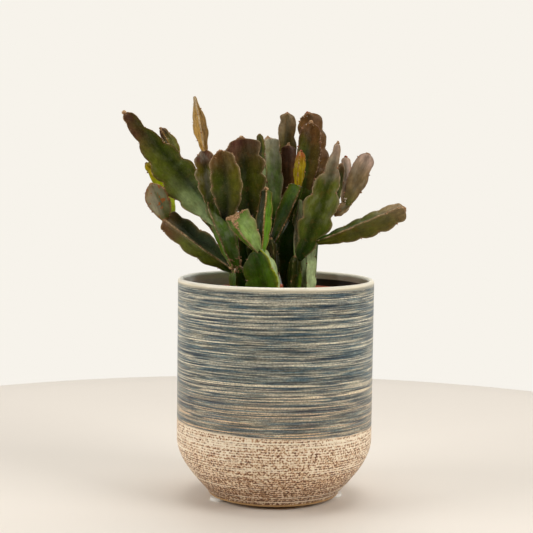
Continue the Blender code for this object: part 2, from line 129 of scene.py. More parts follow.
# %% [markdown]
# ## From arrays to meshes
#
# Each new piece is a grid of points worked out all at once with numpy: rows along a profile or
# a stem, and columns around it. Neighbouring points are joined by four-cornered faces, and a
# fan of triangles closes each end. Blender takes such arrays whole through `foreach_set`, which
# is far quicker than adding points one by one.

# %% Grid faces, end fans and the mesh maker
DATA_KINDS = {1: ("FLOAT", "value"), 3: ("FLOAT_VECTOR", "vector"), 4: ("FLOAT_COLOR", "color")}


def tube_faces(rows, columns):
    """Faces of a tube of rows of points: the corners are a point, the next row's point, the next
    row's next point and the row's own next point. The last column joins the first."""
    row, column = np.meshgrid(np.arange(rows - 1), np.arange(columns), indexing="ij")
    after = (column + 1) % columns
    low = row * columns
    high = low + columns
    corners = np.stack([low + column, high + column, high + after, low + after], axis=-1)
    return corners.reshape(-1, 4)


def fan_faces(start, columns, centre, at_end):
    """Triangles from a ring to one centre point, turned the other way at the tube's start."""
    column = np.arange(columns)
    after = (column + 1) % columns
    fan = np.stack([start + column, np.full(columns, centre), start + after], axis=-1)
    return fan if at_end else fan[:, ::-1]


def closed_tube(rows, columns):
    """A tube's faces and the two fans that close its ends. The points of the grid come first,
    then the centre of the first row's fan and the centre of the last row's."""
    count = rows * columns
    fans = [fan_faces(0, columns, count, False),
            fan_faces(count - columns, columns, count + 1, True)]
    return tube_faces(rows, columns), np.concatenate(fans)


def new_piece(name, points, quads, triangles, material, **attributes):
    """A mesh object from arrays in millimetres about the pot's axis. Attributes hold a number, a
    vector or a colour a point, as the array has no, three or four columns."""
    mesh = bpy.data.meshes.new(name)
    points = placed(points)
    mesh.vertices.add(len(points))
    mesh.vertices.foreach_set("co", points.astype(np.float32).ravel())
    corners = np.concatenate([quads.ravel(), triangles.ravel()]).astype(np.int32)
    sizes = np.concatenate([np.full(len(quads), 4), np.full(len(triangles), 3)]).astype(np.int32)
    starts = np.concatenate([[0], np.cumsum(sizes)[:-1]]).astype(np.int32)
    mesh.loops.add(len(corners))
    mesh.loops.foreach_set("vertex_index", corners)
    mesh.polygons.add(len(sizes))
    mesh.polygons.foreach_set("loop_start", starts)
    mesh.polygons.foreach_set("use_smooth", np.ones(len(sizes), bool))
    mesh.update(calc_edges=True)
    for label, values in attributes.items():
        kind, field = DATA_KINDS[1 if values.ndim == 1 else values.shape[1]]
        data = mesh.attributes.new(label, kind, "POINT").data
        data.foreach_set(field, values.astype(np.float32).ravel())
    mesh.materials.append(material)
    piece = bpy.data.objects.new(name, mesh)
    bpy.context.scene.collection.objects.link(piece)
    print(f"{name}: {len(points)} points, {len(quads) * 2 + len(triangles)} triangles")
    return piece


# %% [markdown]
# Nothing that grew or was thrown on a wheel is quite even. This helper gives smooth random
# drift: random numbers sit on the corners of a grid, and each point blends the eight around it.
# The random numbers come from a fixed seed, so that every run gives the same piece.

# %% Smooth random drift


def drift(points, size, seed):
    """Values from -1 to 1 that change over about the given size. Each is the mean of its cell's
    eight random corners, weighted along each side by 3t^2 - 2t^3."""
    table = np.random.default_rng(seed).uniform(-1.0, 1.0, (32, 32, 32))
    cell = np.asarray(points, float) / size + 512.0
    low = np.floor(cell).astype(int)
    part = cell - low
    blend = part * part * (3.0 - 2.0 * part)
    total = np.zeros(cell.shape[:-1])
    for corner in itertools.product((0, 1), repeat=3):
        weight = np.prod(np.where(np.array(corner) == 1, blend, 1.0 - blend), axis=-1)
        place = (low + corner) % 32
        total += weight * table[place[..., 0], place[..., 1], place[..., 2]]
    return total


sample = drift(np.random.default_rng(1).uniform(0, 90, (2000, 3)), 7.0, 2)
print("drift from", round(sample.min(), 2), "to", round(sample.max(), 2))

# %% [markdown]
# ## Writing materials
#
# A material is a small graph. One helper fills a node's inputs with numbers or with links, and
# one adds a node. The others stand for the nodes that come back again and again, such as sums,
# mixes and noise, and keep the lines short. Colours are given as they look on a screen, from 0
# to 255, and are turned into the linear light that the renderer works in.

# %% Screen colours and node inputs


def screen(red, green, blue):
    """A screen colour as linear light: the value over 255, bent by the usual sRGB curve."""
    share = np.array([red, green, blue]) / 255.0
    light = np.where(share <= 0.04045, share / 12.92, ((share + 0.055) / 1.055) ** 2.4)
    return (*light.tolist(), 1.0)


def fill(tree, node, inputs):
    """An input that is given a socket is linked to it, any other is set to the value."""
    for label, value in inputs.items():
        if isinstance(value, bpy.types.NodeSocket):
            tree.links.new(value, node.inputs[label])
        else:
            node.inputs[label].default_value = value


def add_node(tree, kind, inputs=None, **settings):
    """A new node with its settings and its inputs."""
    made = tree.nodes.new(kind)
    for label, value in settings.items():
        setattr(made, label, value)
    fill(tree, made, inputs or {})
    return made


print("clay as linear light:", np.round(screen(150, 118, 92), 3))

# %% Nodes that come back


def sum_up(tree, operation, first, second=0.0, third=0.0):
    """The result of a Math node."""
    made = add_node(tree, "ShaderNodeMath", {0: first, 1: second, 2: third}, operation=operation)
    return made.outputs[0]


def times(tree, first, second):
    """The product of two values."""
    return sum_up(tree, "MULTIPLY", first, second)


def mixed(tree, share, first, second):
    """Two colours mixed by a share from 0 to 1."""
    made = add_node(tree, "ShaderNodeMix", {0: share, 6: first, 7: second}, data_type="RGBA")
    return made.outputs[2]


def brightened(tree, colour, gain):
    """A colour made lighter or darker: each of its channels times the gain."""
    made = add_node(tree, "ShaderNodeVectorMath", {0: colour, "Scale": gain}, operation="SCALE")
    return made.outputs[0]


def between(tree, value, low, high, to_low=0.0, to_high=1.0):
    """A value's place between two bounds, eased at both ends."""
    made = add_node(tree, "ShaderNodeMapRange",
                    {0: value, 1: low, 2: high, 3: to_low, 4: to_high},
                    interpolation_type="SMOOTHSTEP")
    return made.outputs[0]


def ramp(tree, value, stops):
    """A colour for each value, from a list of (place, colour)."""
    made = add_node(tree, "ShaderNodeValToRGB", {0: value})
    band = made.color_ramp
    while len(band.elements) < len(stops):
        band.elements.new(0.5)
    for element, (place, colour) in zip(band.elements, stops):
        element.position = place
        element.color = colour
    return made.outputs[0]


def stretched(tree, place, scale):
    """Positions multiplied axis by axis, so that a pattern is longer one way than another."""
    made = add_node(tree, "ShaderNodeVectorMath", {0: place, 1: scale}, operation="MULTIPLY")
    return made.outputs[0]


def shifted(tree, place, shift):
    """Positions with a shift added to them."""
    made = add_node(tree, "ShaderNodeVectorMath", {0: place, 1: shift}, operation="ADD")
    return made.outputs[0]


def noise(tree, place, scale, detail=2.0, rough=0.5):
    """A noise value from 0 to 1."""
    made = add_node(tree, "ShaderNodeTexNoise", {"Vector": place, "Scale": scale,
                                                 "Detail": detail, "Roughness": rough})
    return made.outputs["Fac"]


def stretched_noise(tree, place, scale, detail=2.0, rough=0.5):
    """Noise with its own scale along each axis."""
    return noise(tree, stretched(tree, place, scale), 1.0, detail, rough)


def attribute(tree, label, output="Fac"):
    """What a piece's mesh stores under a name."""
    return add_node(tree, "ShaderNodeAttribute", attribute_name=label).outputs[output]


def new_material(name):
    """An empty graph with its surface shader and output, and object positions from the axis."""
    material = bpy.data.materials.new(name)
    material.use_nodes = True
    tree = material.node_tree
    shader = tree.nodes["Principled BSDF"]
    place = add_node(tree, "ShaderNodeTexCoord").outputs["Object"]
    return material, tree, shader, shifted(tree, place, tuple(-AXIS))


print("materials count from, metres:", np.round(AXIS, 4))

# %% [markdown]
# Two effects turn up again and again. One is mottling, the soft cloudy change of tone that
# every natural surface has. The other is a raised grain, which needs a height and returns a
# normal. Both are made once as node groups, and each material gives them its own numbers.

# %% Shared node groups
SOCKET = "NodeSocket"


def start_group(name, inputs, outputs):
    """An empty node group with named sockets."""
    group = bpy.data.node_groups.new(name, "ShaderNodeTree")
    for label, kind, value in inputs:
        socket = group.interface.new_socket(label, in_out="INPUT", socket_type=SOCKET + kind)
        if value is not None:
            socket.default_value = value
    for label, kind in outputs:
        group.interface.new_socket(label, in_out="OUTPUT", socket_type=SOCKET + kind)
    return group, group.nodes.new("NodeGroupInput"), group.nodes.new("NodeGroupOutput")


def make_mottle():
    """The colour times 1 + Amount (2.4 noise - 1.2), so it gets lighter and darker in clouds."""
    group, given, result = start_group(
        "mottle",
        [("Colour", "Color", (0.5, 0.5, 0.5, 1.0)),
         ("Place", "Vector", None),
         ("Scale", "Float", 100.0),
         ("Amount", "Float", 0.2)],
        [("Colour", "Color")],
    )
    cloud = noise(group, given.outputs["Place"], given.outputs["Scale"], 4.0, 0.6)
    swing = sum_up(group, "MULTIPLY_ADD", cloud, 2.4, -1.2)
    gain = sum_up(group, "MULTIPLY_ADD", swing, given.outputs["Amount"], 1.0)
    fill(group, result, {"Colour": brightened(group, given.outputs["Colour"], gain)})
    return group


def make_grain():
    """The normal of a surface as high as the noise times Depth, on top of another height."""
    group, given, result = start_group(
        "grain",
        [("Place", "Vector", None),
         ("Scale", "Float", 800.0),
         ("Depth", "Float", 0.0001),
         ("Height", "Float", 0.0)],
        [("Normal", "Vector")],
    )
    bumps = noise(group, given.outputs["Place"], given.outputs["Scale"], 3.0, 0.55)
    height = sum_up(group, "MULTIPLY_ADD", bumps, given.outputs["Depth"], given.outputs["Height"])
    bump = add_node(group, "ShaderNodeBump", {"Strength": 1.0, "Distance": 1.0, "Height": height})
    fill(group, result, {"Normal": bump.outputs[0]})
    return group


MOTTLE = make_mottle()
GRAIN = make_grain()


def mottled(tree, colour, place, scale, amount):
    """The mottle group, placed in a material."""
    inputs = {"Colour": colour, "Place": place, "Scale": scale, "Amount": amount}
    return add_node(tree, "ShaderNodeGroup", inputs, node_tree=MOTTLE).outputs[0]


def grained(tree, shader, place, scale, depth, height=0.0):
    """The grain group, placed in a material and linked to its shader's normal."""
    inputs = {"Place": place, "Scale": scale, "Depth": depth, "Height": height}
    made = add_node(tree, "ShaderNodeGroup", inputs, node_tree=GRAIN)
    fill(tree, shader, {"Normal": made.outputs[0]})


print("groups:", MOTTLE.name, GRAIN.name)

# %% [markdown]
# ## The cover pot's finish
#
# The real pot wears two glazes. Above, blue-grey slip was brushed round and round while the pot
# turned, so it has long, level, broken lines of navy and cream over a grey-green ground. Below,
# a thick cream glaze has crawled while it was fired, and the brown clay shows in small pits that
# lie in rough rows. The line between the two is a little askew.
#
# Images could hold such patterns, but noise that is stretched sideways does it for any angle of
# view: position is multiplied by a small number round the pot and by a large one up the pot.
# One layer makes one kind of brush mark, and its peaks alone are kept by cutting it off high.

# %% The brushed glaze
GLAZE_LINE = 0.0532
GLAZE_TILT = -0.028
# How far below the rim the painted shade on the inner wall starts.
INNER_SHADE_DEPTH = 0.0052
POT_TOP = pot_high.z
BRUSH_RELIEF = 0.00009


def strokes(tree, place, scale, low, high, breaks, shift):
    """Level brush marks: the peaks of stretched noise, broken up by a second, coarser one. The
    shift takes each layer's marks from another part of the noise."""
    moved = shifted(tree, place, (shift, shift, shift))
    mark = between(tree, stretched_noise(tree, moved, scale, 2.0, 0.55), low, high)
    gap = between(tree, stretched_noise(tree, moved, breaks, 2.0, 0.6), 0.38, 0.54)
    return times(tree, mark, gap)


def brushed_glaze(tree, place, height_up):
    """A clouded ground, fine level hairs, then navy and cream strokes, each raised or sunk."""
    wander = stretched_noise(tree, place, (9.0, 9.0, 14.0), 1.0)
    lift = sum_up(tree, "MULTIPLY_ADD", wander, 0.0030, -0.0015)
    bent = shifted(tree, place, add_node(tree, "ShaderNodeCombineXYZ", {2: lift}).outputs[0])
    clouds = stretched_noise(tree, bent, (34.0, 34.0, 560.0), 5.0, 0.75)
    colour = ramp(tree, clouds, [
        (0.38, screen(58, 82, 94)),
        (0.47, screen(92, 110, 112)),
        (0.54, screen(132, 134, 122)),
        (0.64, screen(190, 182, 158)),
    ])
    hairs = stretched_noise(tree, bent, (34.0, 34.0, 1250.0), 3.0, 0.65)
    colour = brightened(tree, colour, between(tree, hairs, 0.32, 0.68, 0.40, 1.60))
    area = between(tree, stretched_noise(tree, place, (20.0, 20.0, 42.0)), 0.36, 0.62, 0.45, 1.0)
    navy = strokes(tree, bent, (15.0, 15.0, 1200.0), 0.52, 0.54, (40.0, 40.0, 460.0), 3.0)
    navy = times(tree, navy, area)
    fine_navy = strokes(tree, bent, (15.0, 15.0, 1900.0), 0.53, 0.57, (44.0, 44.0, 800.0), 7.0)
    dark = sum_up(tree, "MAXIMUM", navy, times(tree, fine_navy, 0.6))
    colour = mixed(tree, times(tree, dark, 0.92), colour, screen(16, 38, 58))
    cream = strokes(tree, bent, (7.0, 7.0, 1150.0), 0.582, 0.602, (24.0, 24.0, 400.0), 11.0)
    fine_cream = strokes(tree, bent, (7.0, 7.0, 1750.0), 0.565, 0.60, (24.0, 24.0, 600.0), 17.0)
    light = sum_up(tree, "MAXIMUM", cream, times(tree, fine_cream, 0.7))
    warm = between(tree, height_up, 0.056, 0.100, 1.0, 0.0)
    pale = mixed(tree, warm, screen(246, 236, 208), screen(238, 206, 166))
    colour = mixed(tree, times(tree, light, 0.92), colour, pale)
    colour = mixed(tree, times(tree, warm, 0.12), colour, screen(150, 120, 88))
    speck = noise(tree, stretched(tree, place, (1.0, 1.0, 1.5)), 900.0, 2.0, 0.6)
    colour = brightened(tree, colour, between(tree, speck, 0.3, 0.7, 0.66, 1.34))
    height = sum_up(tree, "SUBTRACT", sum_up(tree, "ADD", light, hairs), dark)
    return colour, times(tree, height, BRUSH_RELIEF)


print("glaze line, mm:", round(GLAZE_LINE / MM, 1))

# %% The crawled glaze
PITS_PER_METRE = 690.0
ROWS_PER_METRE = 3590.0
CRAWLED_RELIEF = 0.00034


def crawled_glaze(tree, place, height_up):
    """How thick the glaze lies: thin in pits, where the distance to the nearest of many
    scattered points is small, thick in a few level lines, and uneven by noise between them."""
    jitter = noise(tree, place, 300.0, 1.0)
    push = add_node(tree, "ShaderNodeCombineXYZ", {2: times(tree, jitter, 0.0012)}).outputs[0]
    shaken = shifted(tree, place, push)
    cells = add_node(tree, "ShaderNodeTexVoronoi",
                     {"Vector": shaken, "Scale": PITS_PER_METRE, "Randomness": 0.8})
    fine = noise(tree, stretched(tree, place, (1.0, 1.0, 1.25)), 640.0, 1.5, 0.55)
    patch = noise(tree, place, 110.0, 2.0)
    cover = sum_up(tree, "MULTIPLY_ADD", fine, 1.05, times(tree, cells.outputs[0], 0.62))
    cover = sum_up(tree, "MULTIPLY_ADD", patch, 0.22, sum_up(tree, "SUBTRACT", cover, 0.50))
    low = between(tree, height_up, 0.004, 0.050, 0.14, -0.05)
    cover = sum_up(tree, "SUBTRACT", cover, low)
    lines = strokes(tree, place, (6.0, 6.0, 900.0), 0.56, 0.59, (22.0, 22.0, 400.0), 23.0)
    cover = sum_up(tree, "MULTIPLY_ADD", lines, 0.38, cover)
    sway = stretched_noise(tree, place, (25.0, 25.0, 25.0), 1.0)
    rows = sum_up(tree, "SINE", sum_up(tree, "MULTIPLY_ADD", height_up, ROWS_PER_METRE,
                                       times(tree, sway, 8.0)))
    cover = sum_up(tree, "MULTIPLY_ADD", rows, 0.10, cover)
    cover = between(tree, cover, 0.10, 0.74)
    colour = ramp(tree, cover, [
        (0.0, screen(96, 56, 32)),
        (0.22, screen(158, 112, 76)),
        (0.46, screen(216, 176, 134)),
        (1.0, screen(255, 240, 215)),
    ])
    colour = brightened(tree, colour, between(tree, height_up, 0.000, 0.026, 0.78, 1.0))
    return colour, times(tree, cover, CRAWLED_RELIEF)


print("pits, mm apart:", round(1000.0 / PITS_PER_METRE, 1))

# %% [markdown]
# The pot is one skin, so its finishes are put behind masks in one material: the line between the
# glazes, the cream lip where the slip ran thin, the bare clay at the foot and the paler glaze
# inside. Inside, the wall carries painted shade: below a pale band under the rim it turns dark on
# the right side and stays pale on the left, and the pale band is a little darker on the right
# too.

# %% Glazes as one material


def pot_material():
    """The two glazes, the cream lip, the inside and the bare foot, each behind a mask."""
    material, tree, shader, place = new_material("glazed_ceramic")
    parts = add_node(tree, "ShaderNodeSeparateXYZ", {0: place})
    height_up = parts.outputs[2]
    brushed, brushed_height = brushed_glaze(tree, place, height_up)
    crawled, crawled_height = crawled_glaze(tree, place, height_up)

    wobble = stretched_noise(tree, place, (90.0, 90.0, 90.0))
    line = sum_up(tree, "MULTIPLY_ADD", parts.outputs[0], GLAZE_TILT, GLAZE_LINE - 0.0006)
    line = sum_up(tree, "MULTIPLY_ADD", wobble, 0.0012, line)
    above = sum_up(tree, "SUBTRACT", height_up, line)
    upper = between(tree, above, -0.0003, 0.0003)
    seam = between(tree, sum_up(tree, "ABSOLUTE", above), 0.0004, 0.0018, 1.0, 0.0)
    crawled = mixed(tree, times(tree, seam, 0.55), crawled, screen(222, 198, 166))
    colour = mixed(tree, upper, crawled, brushed)

    below_rim = sum_up(tree, "SUBTRACT", POT_TOP, height_up)
    rim_fade = between(tree, below_rim, 0.0014, 0.0044, 1.0, 0.0)
    rim_worn = between(tree, stretched_noise(tree, place, (30.0, 30.0, 600.0), 3.0),
                       0.35, 0.65, 0.75, 1.0)
    rim_fade = times(tree, rim_fade, rim_worn)
    lip = mixed(tree, between(tree, below_rim, 0.0010, 0.0026), screen(255, 244, 218),
                screen(238, 224, 192))
    colour = mixed(tree, rim_fade, colour, lip)
    foot_edge = between(tree, height_up, 0.0032, 0.0044, 1.0, 0.0)
    colour = mixed(tree, foot_edge, colour, screen(190, 150, 98))

    inside = attribute(tree, "inside")
    # Painted shade on the inner wall: dark on the right below the pale band under the rim, fading
    # out towards the left, and the pale band a little darker on the right.
    deep = between(tree, below_rim, INNER_SHADE_DEPTH - 0.0003, INNER_SHADE_DEPTH + 0.0004)
    aside = between(tree, parts.outputs[0], -0.012, 0.020)
    shaded_wall_colour = mixed(tree, aside, screen(236, 240, 244), screen(60, 60, 56))
    wall = mixed(tree, deep, mixed(tree, aside, screen(250, 251, 246), screen(242, 238, 220)),
                 shaded_wall_colour)
    wall = mottled(tree, wall, stretched(tree, place, (1.0, 1.0, 3.0)), 150.0, 0.12)
    colour = mixed(tree, inside, colour, wall)
    rough = sum_up(tree, "MULTIPLY_ADD", upper, -0.16, 0.46)
    fill(tree, shader, {"Base Color": colour, "Roughness": rough, "Specular IOR Level": 0.5})

    height = add_node(tree, "ShaderNodeMix", {0: upper, 2: crawled_height, 3: brushed_height})
    outer = sum_up(tree, "SUBTRACT", 1.0, sum_up(tree, "MAXIMUM", inside, rim_fade))
    grained(tree, shader, place, 2600.0, 0.00002, times(tree, height.outputs[0], outer))
    return material


GLAZED_CERAMIC = pot_material()
print("glazed ceramic:", len(GLAZED_CERAMIC.node_tree.nodes), "nodes")

# %% [markdown]
# ## The cover pot's form
#
# A pot from a wheel is a profile turned about an axis. The profile starts in the middle of the
# inner floor, climbs the inner wall, goes over the rounded lip, down the outer wall, round the
# belly and under the foot to the middle again, so one closed skin has the wall's real
# thickness. The belly is a quarter of a sine wave, which is how the pot swells from its foot.
# The outer wall then gets the faint rings that the potter's brush and fingers leave.

# %% Profile of the pot
POT_BASE = pot_low.z / MM
POT_RIM = pot_high.z / MM
POT_RADIUS = 67.5
POT_WALL = 4.0
POT_FOOT_RADIUS = 45.5
POT_FOOT_RING = [(0.0, 1.2), (-0.1, 0.5), (-0.5, 0.0), (-5.0, 0.0), (-9.6, 0.0), (-10.2, 0.5),
                 (-10.8, 1.2)]
POT_TURN = POT_BASE + 39.0
POT_FLOOR = POT_BASE + 7.0


def belly(start, end, count):
    """Profile points whose radius grows as the sine of a quarter turn while they climb evenly."""
    t = np.linspace(0.0, 1.0, count)
    radius = start[0] + (end[0] - start[0]) * np.sin(0.5 * math.pi * t)
    height = start[1] + (end[1] - start[1]) * t
    return np.stack([radius, height], axis=-1)


def straight(start, end, count):
    """Evenly spaced profile points on a straight line."""
    return np.linspace(start, end, count)


def pot_profile():
    """The closed profile as (radius, height), and for each point 1 inside the pot, 0 outside and
    a value that falls evenly over the lip."""
    inner = POT_RADIUS - POT_WALL
    lip = 0.5 * POT_WALL
    turn = np.linspace(math.pi, 0.0, 15)
    lip_points = np.stack([inner + lip + lip * np.cos(turn), POT_RIM - lip + lip * np.sin(turn)],
                          axis=-1)
    within = [
        straight((1.5, POT_FLOOR), (41.0, POT_FLOOR), 8),
        belly((44.0, POT_FLOOR + 0.4), (inner, POT_TURN), 26),
        straight((inner, POT_TURN + 3.0), (inner, POT_RIM - lip - 0.6), 34),
    ]
    outside = [
        straight((POT_RADIUS, POT_RIM - lip - 0.6), (POT_RADIUS, POT_TURN + 0.7), 142),
        belly((POT_FOOT_RADIUS + 0.4, POT_BASE + 2.0), (POT_RADIUS, POT_TURN), 54)[::-1],
        np.array(POT_FOOT_RING) + (POT_FOOT_RADIUS, POT_BASE),
        straight((30.0, POT_BASE + 1.2), (1.5, POT_BASE + 1.2), 6),
    ]
    profile = np.concatenate([*within, lip_points, *outside])
    inside = np.concatenate([np.ones(sum(map(len, within))), np.linspace(1.0, 0.0, len(turn)),
                             np.zeros(sum(map(len, outside)))])
    return profile, inside


profile, inside = pot_profile()
print("points of the profile:", len(profile))

# %% A profile turned about the axis


def turned_points(profile, columns):
    """Profile points carried round the axis: (r cos a, r sin a, z) for evenly spaced angles a."""
    angle = np.arange(columns) * (2.0 * math.pi / columns)
    radius = profile[:, 0, None]
    height = np.broadcast_to(profile[:, 1, None], (len(profile), columns))
    return np.stack([radius * np.cos(angle), radius * np.sin(angle), height], axis=-1)


def turned_piece(name, profile, columns, material, relief=None, **attributes):
    """A profile turned about the axis, with a relief added to the radius, and closed ends."""
    points = turned_points(profile, columns)
    if relief is not None:
        outward = points[..., :2] / np.linalg.norm(points[..., :2], axis=-1, keepdims=True)
        points[..., :2] += outward * relief(points)[..., None]
    centres = np.array([[0.0, 0.0, profile[0, 1]], [0.0, 0.0, profile[-1, 1]]])
    spread = {
        label: np.concatenate([np.repeat(values, columns), [values[0], values[-1]]])
        for label, values in attributes.items()
    }
    return new_piece(name, np.concatenate([points.reshape(-1, 3), centres]),
                     *closed_tube(len(profile), columns), material, **spread)


print("a point of the belly, turned:", turned_points(np.array([(POT_RADIUS, POT_TURN)]), 1)[0])

# %% Throwing rings and the cover pot


def throwing_rings(points):
    """Rings a tenth of a millimetre high on the outer wall: drift that changes quickly up the pot
    and slowly round it. They fade out at the lip, at the foot and inside."""
    radius = np.linalg.norm(points[..., :2], axis=-1)
    height = points[..., 2]
    rings = drift(points * (0.05, 0.05, 1.0), 2.2, 11) * 0.07
    sway = drift(points, 45.0, 12) * 0.10
    outer = np.clip((radius - POT_RADIUS + POT_WALL * 0.5) / 0.6, 0.0, 1.0)
    above_foot = np.clip((radius - POT_FOOT_RADIUS - 1.0) / 2.0, 0.0, 1.0)
    wall = np.where(height < POT_TURN + 4.0, above_foot, outer)
    near_floor = np.clip((height - POT_FLOOR - 2.0) / 6.0, 0.0, 1.0)
    lip = np.clip((POT_RIM - 3.0 - height) / 3.0, 0.0, 1.0)
    return (rings + sway) * wall * near_floor * lip


cover_pot = turned_piece("cover_pot", profile, 240, GLAZED_CERAMIC, throwing_rings, inside=inside)
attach(cover_pot, "root")
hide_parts("pot")

# %% [markdown]
# ## Felt pads
#
# Small white felt pads under the foot keep it from scratching the table. Each is a short
# cylinder with a slightly pressed, fuzzy edge, so its profile bulges a little and the fibres
# are left to a fine grain in the material. The pads' places are measured from the solids.

# %% Felt and its pads


def felt_material():
    """White wool felt: soft cloudy colour, no gloss and a coarse fuzzy grain."""
    material, tree, shader, place = new_material("white_felt")
    colour = mottled(tree, screen(238, 236, 230), place, 900.0, 0.10)
    fill(tree, shader, {"Base Color": colour, "Roughness": 0.95, "Sheen Weight": 0.3})
    grained(tree, shader, place, 1800.0, 0.00018)
    return material


def felt_pad(name, columns=48):
    """A disc whose edge bulges: profile points on a superellipse, a square with soft corners."""
    low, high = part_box(name)
    centre = (np.array([0.5 * (low.x + high.x), 0.5 * (low.y + high.y), 0.0]) - AXIS) / MM
    radius = 0.5 * (high.x - low.x) / MM
    middle = 0.5 * high.z / MM
    turn = np.linspace(0.5 * math.pi, -0.5 * math.pi, 17)
    bulge = 0.7
    edge_out = radius - bulge + bulge * np.abs(np.cos(turn)) ** 0.6
    edge_up = middle + middle * np.sign(np.sin(turn)) * np.abs(np.sin(turn)) ** 0.6
    top = straight((0.4, high.z / MM), (radius - bulge - 0.3, high.z / MM), 7)
    bottom = straight((radius - bulge - 0.3, 0.0), (0.4, 0.0), 7)
    profile = np.concatenate([top, np.stack([edge_out, edge_up], axis=-1), bottom])
    points = turned_points(profile, columns)
    fuzz = np.abs(drift(points + centre, 0.9, 21))[..., None]
    side = np.clip((np.linalg.norm(points[..., :2], axis=-1) - 4.0) / 2.0, 0.0, 1.0)[..., None]
    points[..., :2] *= 1.0 - 0.02 * side * fuzz
    centres = np.array([[0.0, 0.0, high.z / MM], [0.0, 0.0, 0.0]])
    pad = new_piece("felt_" + name, np.concatenate([points.reshape(-1, 3), centres]) + centre,
                    *closed_tube(len(profile), columns), WHITE_FELT)
    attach(pad, "root")
    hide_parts(name)


WHITE_FELT = felt_material()
for pad_name in ("pad_left", "pad_right", "pad_back"):
    felt_pad(pad_name)

# %% [markdown]
# ## The nursery pot
#
# Growers sell such a plant in a thin plastic pot, which simply stands inside the ceramic one.
# Its terracotta-coloured rim shows at the right, just below the lip. Again a profile is turned
# about the axis. It has a stiffening collar and a rolled rim. The drain holes are cut out of
# its floor with a Boolean, the one thing here that a turned grid can't give.

# %% Moulded plastic
inner_low, inner_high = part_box("nursery_pot")
NURSERY_BASE = inner_low.z / MM
NURSERY_RIM = inner_high.z / MM
NURSERY_RADIUS = 0.5 * (inner_high.x - inner_low.x) / MM
NURSERY_FOOT = 42.0
NURSERY_WALL = 1.4
COLLAR_HEIGHT = 9.0
RIM_ROLL = 0.8
DRAIN_HOLES = 6
DRAIN_CIRCLE = 26.0
DRAIN_RADIUS = 4.0


def plastic_material():
    """Terracotta-coloured plastic: nearly even colour, dust in its grain, satin gloss."""
    material, tree, shader, place = new_material("terracotta_plastic")
    colour = mottled(tree, screen(184, 92, 58), place, 90.0, 0.10)
    dust = between(tree, noise(tree, place, 260.0, 4.0, 0.7), 0.55, 0.75)
    colour = mixed(tree, times(tree, dust, 0.25), colour, screen(150, 118, 92))
    rough = sum_up(tree, "MULTIPLY_ADD", dust, 0.25, 0.42)
    fill(tree, shader, {"Base Color": colour, "Roughness": rough})
    grained(tree, shader, place, 1500.0, 0.00003)
    return material


TERRACOTTA_PLASTIC = plastic_material()
print("nursery pot, mm high:", round(NURSERY_RIM - NURSERY_BASE, 1))

# %% The nursery pot and its drain holes


def nursery_profile():
    """A tapered wall with a collar below the rim: inner side up, rolled rim, outer side down."""
    top = NURSERY_RADIUS - 1.6
    floor = NURSERY_BASE + NURSERY_WALL
    collar = NURSERY_RIM - COLLAR_HEIGHT
    turn = np.linspace(0.85 * math.pi, 0.0, 9)
    rim = np.stack([NURSERY_RADIUS - RIM_ROLL + RIM_ROLL * np.cos(turn),
                    NURSERY_RIM - RIM_ROLL + RIM_ROLL * np.sin(turn)], axis=-1)
    share = (collar - NURSERY_BASE) / (NURSERY_RIM - NURSERY_BASE)
    at_collar = NURSERY_FOOT + (top - NURSERY_FOOT) * share
    return np.concatenate([
        straight((1.5, floor), (NURSERY_FOOT - 2.4, floor), 6),
        straight((NURSERY_FOOT - 1.5, NURSERY_BASE + 1.8), (top - 1.5, NURSERY_RIM - 1.2), 40),
        rim,
        straight((NURSERY_RADIUS - 0.05, NURSERY_RIM - 1.6),
                 (NURSERY_RADIUS - 0.3, collar + 0.3), 5),
        np.array([(NURSERY_RADIUS - 0.5, collar), (at_collar + 0.2, collar)]),
        straight((at_collar, collar - 0.4), (NURSERY_FOOT + 0.1, NURSERY_BASE + 0.8), 36),
        straight((NURSERY_FOOT - 0.6, NURSERY_BASE), (1.5, NURSERY_BASE), 6),
    ])


def drain_cutter(columns=24):
    """Upright rods, where the holes are, as one mesh: one rod's points, moved to each place."""
    rod = turned_points(np.array([(DRAIN_RADIUS, 5.0), (DRAIN_RADIUS, -5.0)]), columns)
    rod = np.concatenate([rod.reshape(-1, 3), [[0.0, 0.0, 5.0], [0.0, 0.0, -5.0]]])
    places = turned_points(np.array([(DRAIN_CIRCLE, NURSERY_BASE)]), DRAIN_HOLES)
    points = places.reshape(-1, 1, 3) + rod
    quads, fans = closed_tube(2, columns)
    first = np.arange(DRAIN_HOLES)[:, None, None] * len(rod)
    return new_piece("drain_cutter", points.reshape(-1, 3), (quads + first).reshape(-1, 4),
                     (fans + first).reshape(-1, 3), TERRACOTTA_PLASTIC)


grower_pot = turned_piece("grower_pot", nursery_profile(), 128, TERRACOTTA_PLASTIC)
cutter = drain_cutter()
cut = grower_pot.modifiers.new("Drains", "BOOLEAN")
cut.operation = "DIFFERENCE"
cut.object = cutter
cut_mesh = bpy.data.meshes.new_from_object(
    grower_pot.evaluated_get(bpy.context.evaluated_depsgraph_get()))
grower_pot.modifiers.clear()
grower_pot.data = cut_mesh
bpy.data.objects.remove(cutter)
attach(grower_pot, "root")
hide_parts("nursery_pot")
print("nursery pot with its drain holes:", len(cut_mesh.polygons), "faces")

# %% [markdown]
# ## Soil, bark and grit
#
# A cactus of the forest grows in a loose mix of peat, bark and white grit. The peat is one
# closed body with a lumpy top, made as a grid of rings whose height is moved by drift at three
# sizes. The loose bits are copies of one small rough stone with few faces, scattered by a
# seeded rule: equal areas get equal numbers when the radius is the square root of an even
# random number.

# %% Peat
soil_low, soil_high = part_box("soil")
SOIL_TOP = soil_high.z / MM
SOIL_BASE = soil_low.z / MM
SOIL_RADIUS = 0.5 * (soil_high.x - soil_low.x) / MM


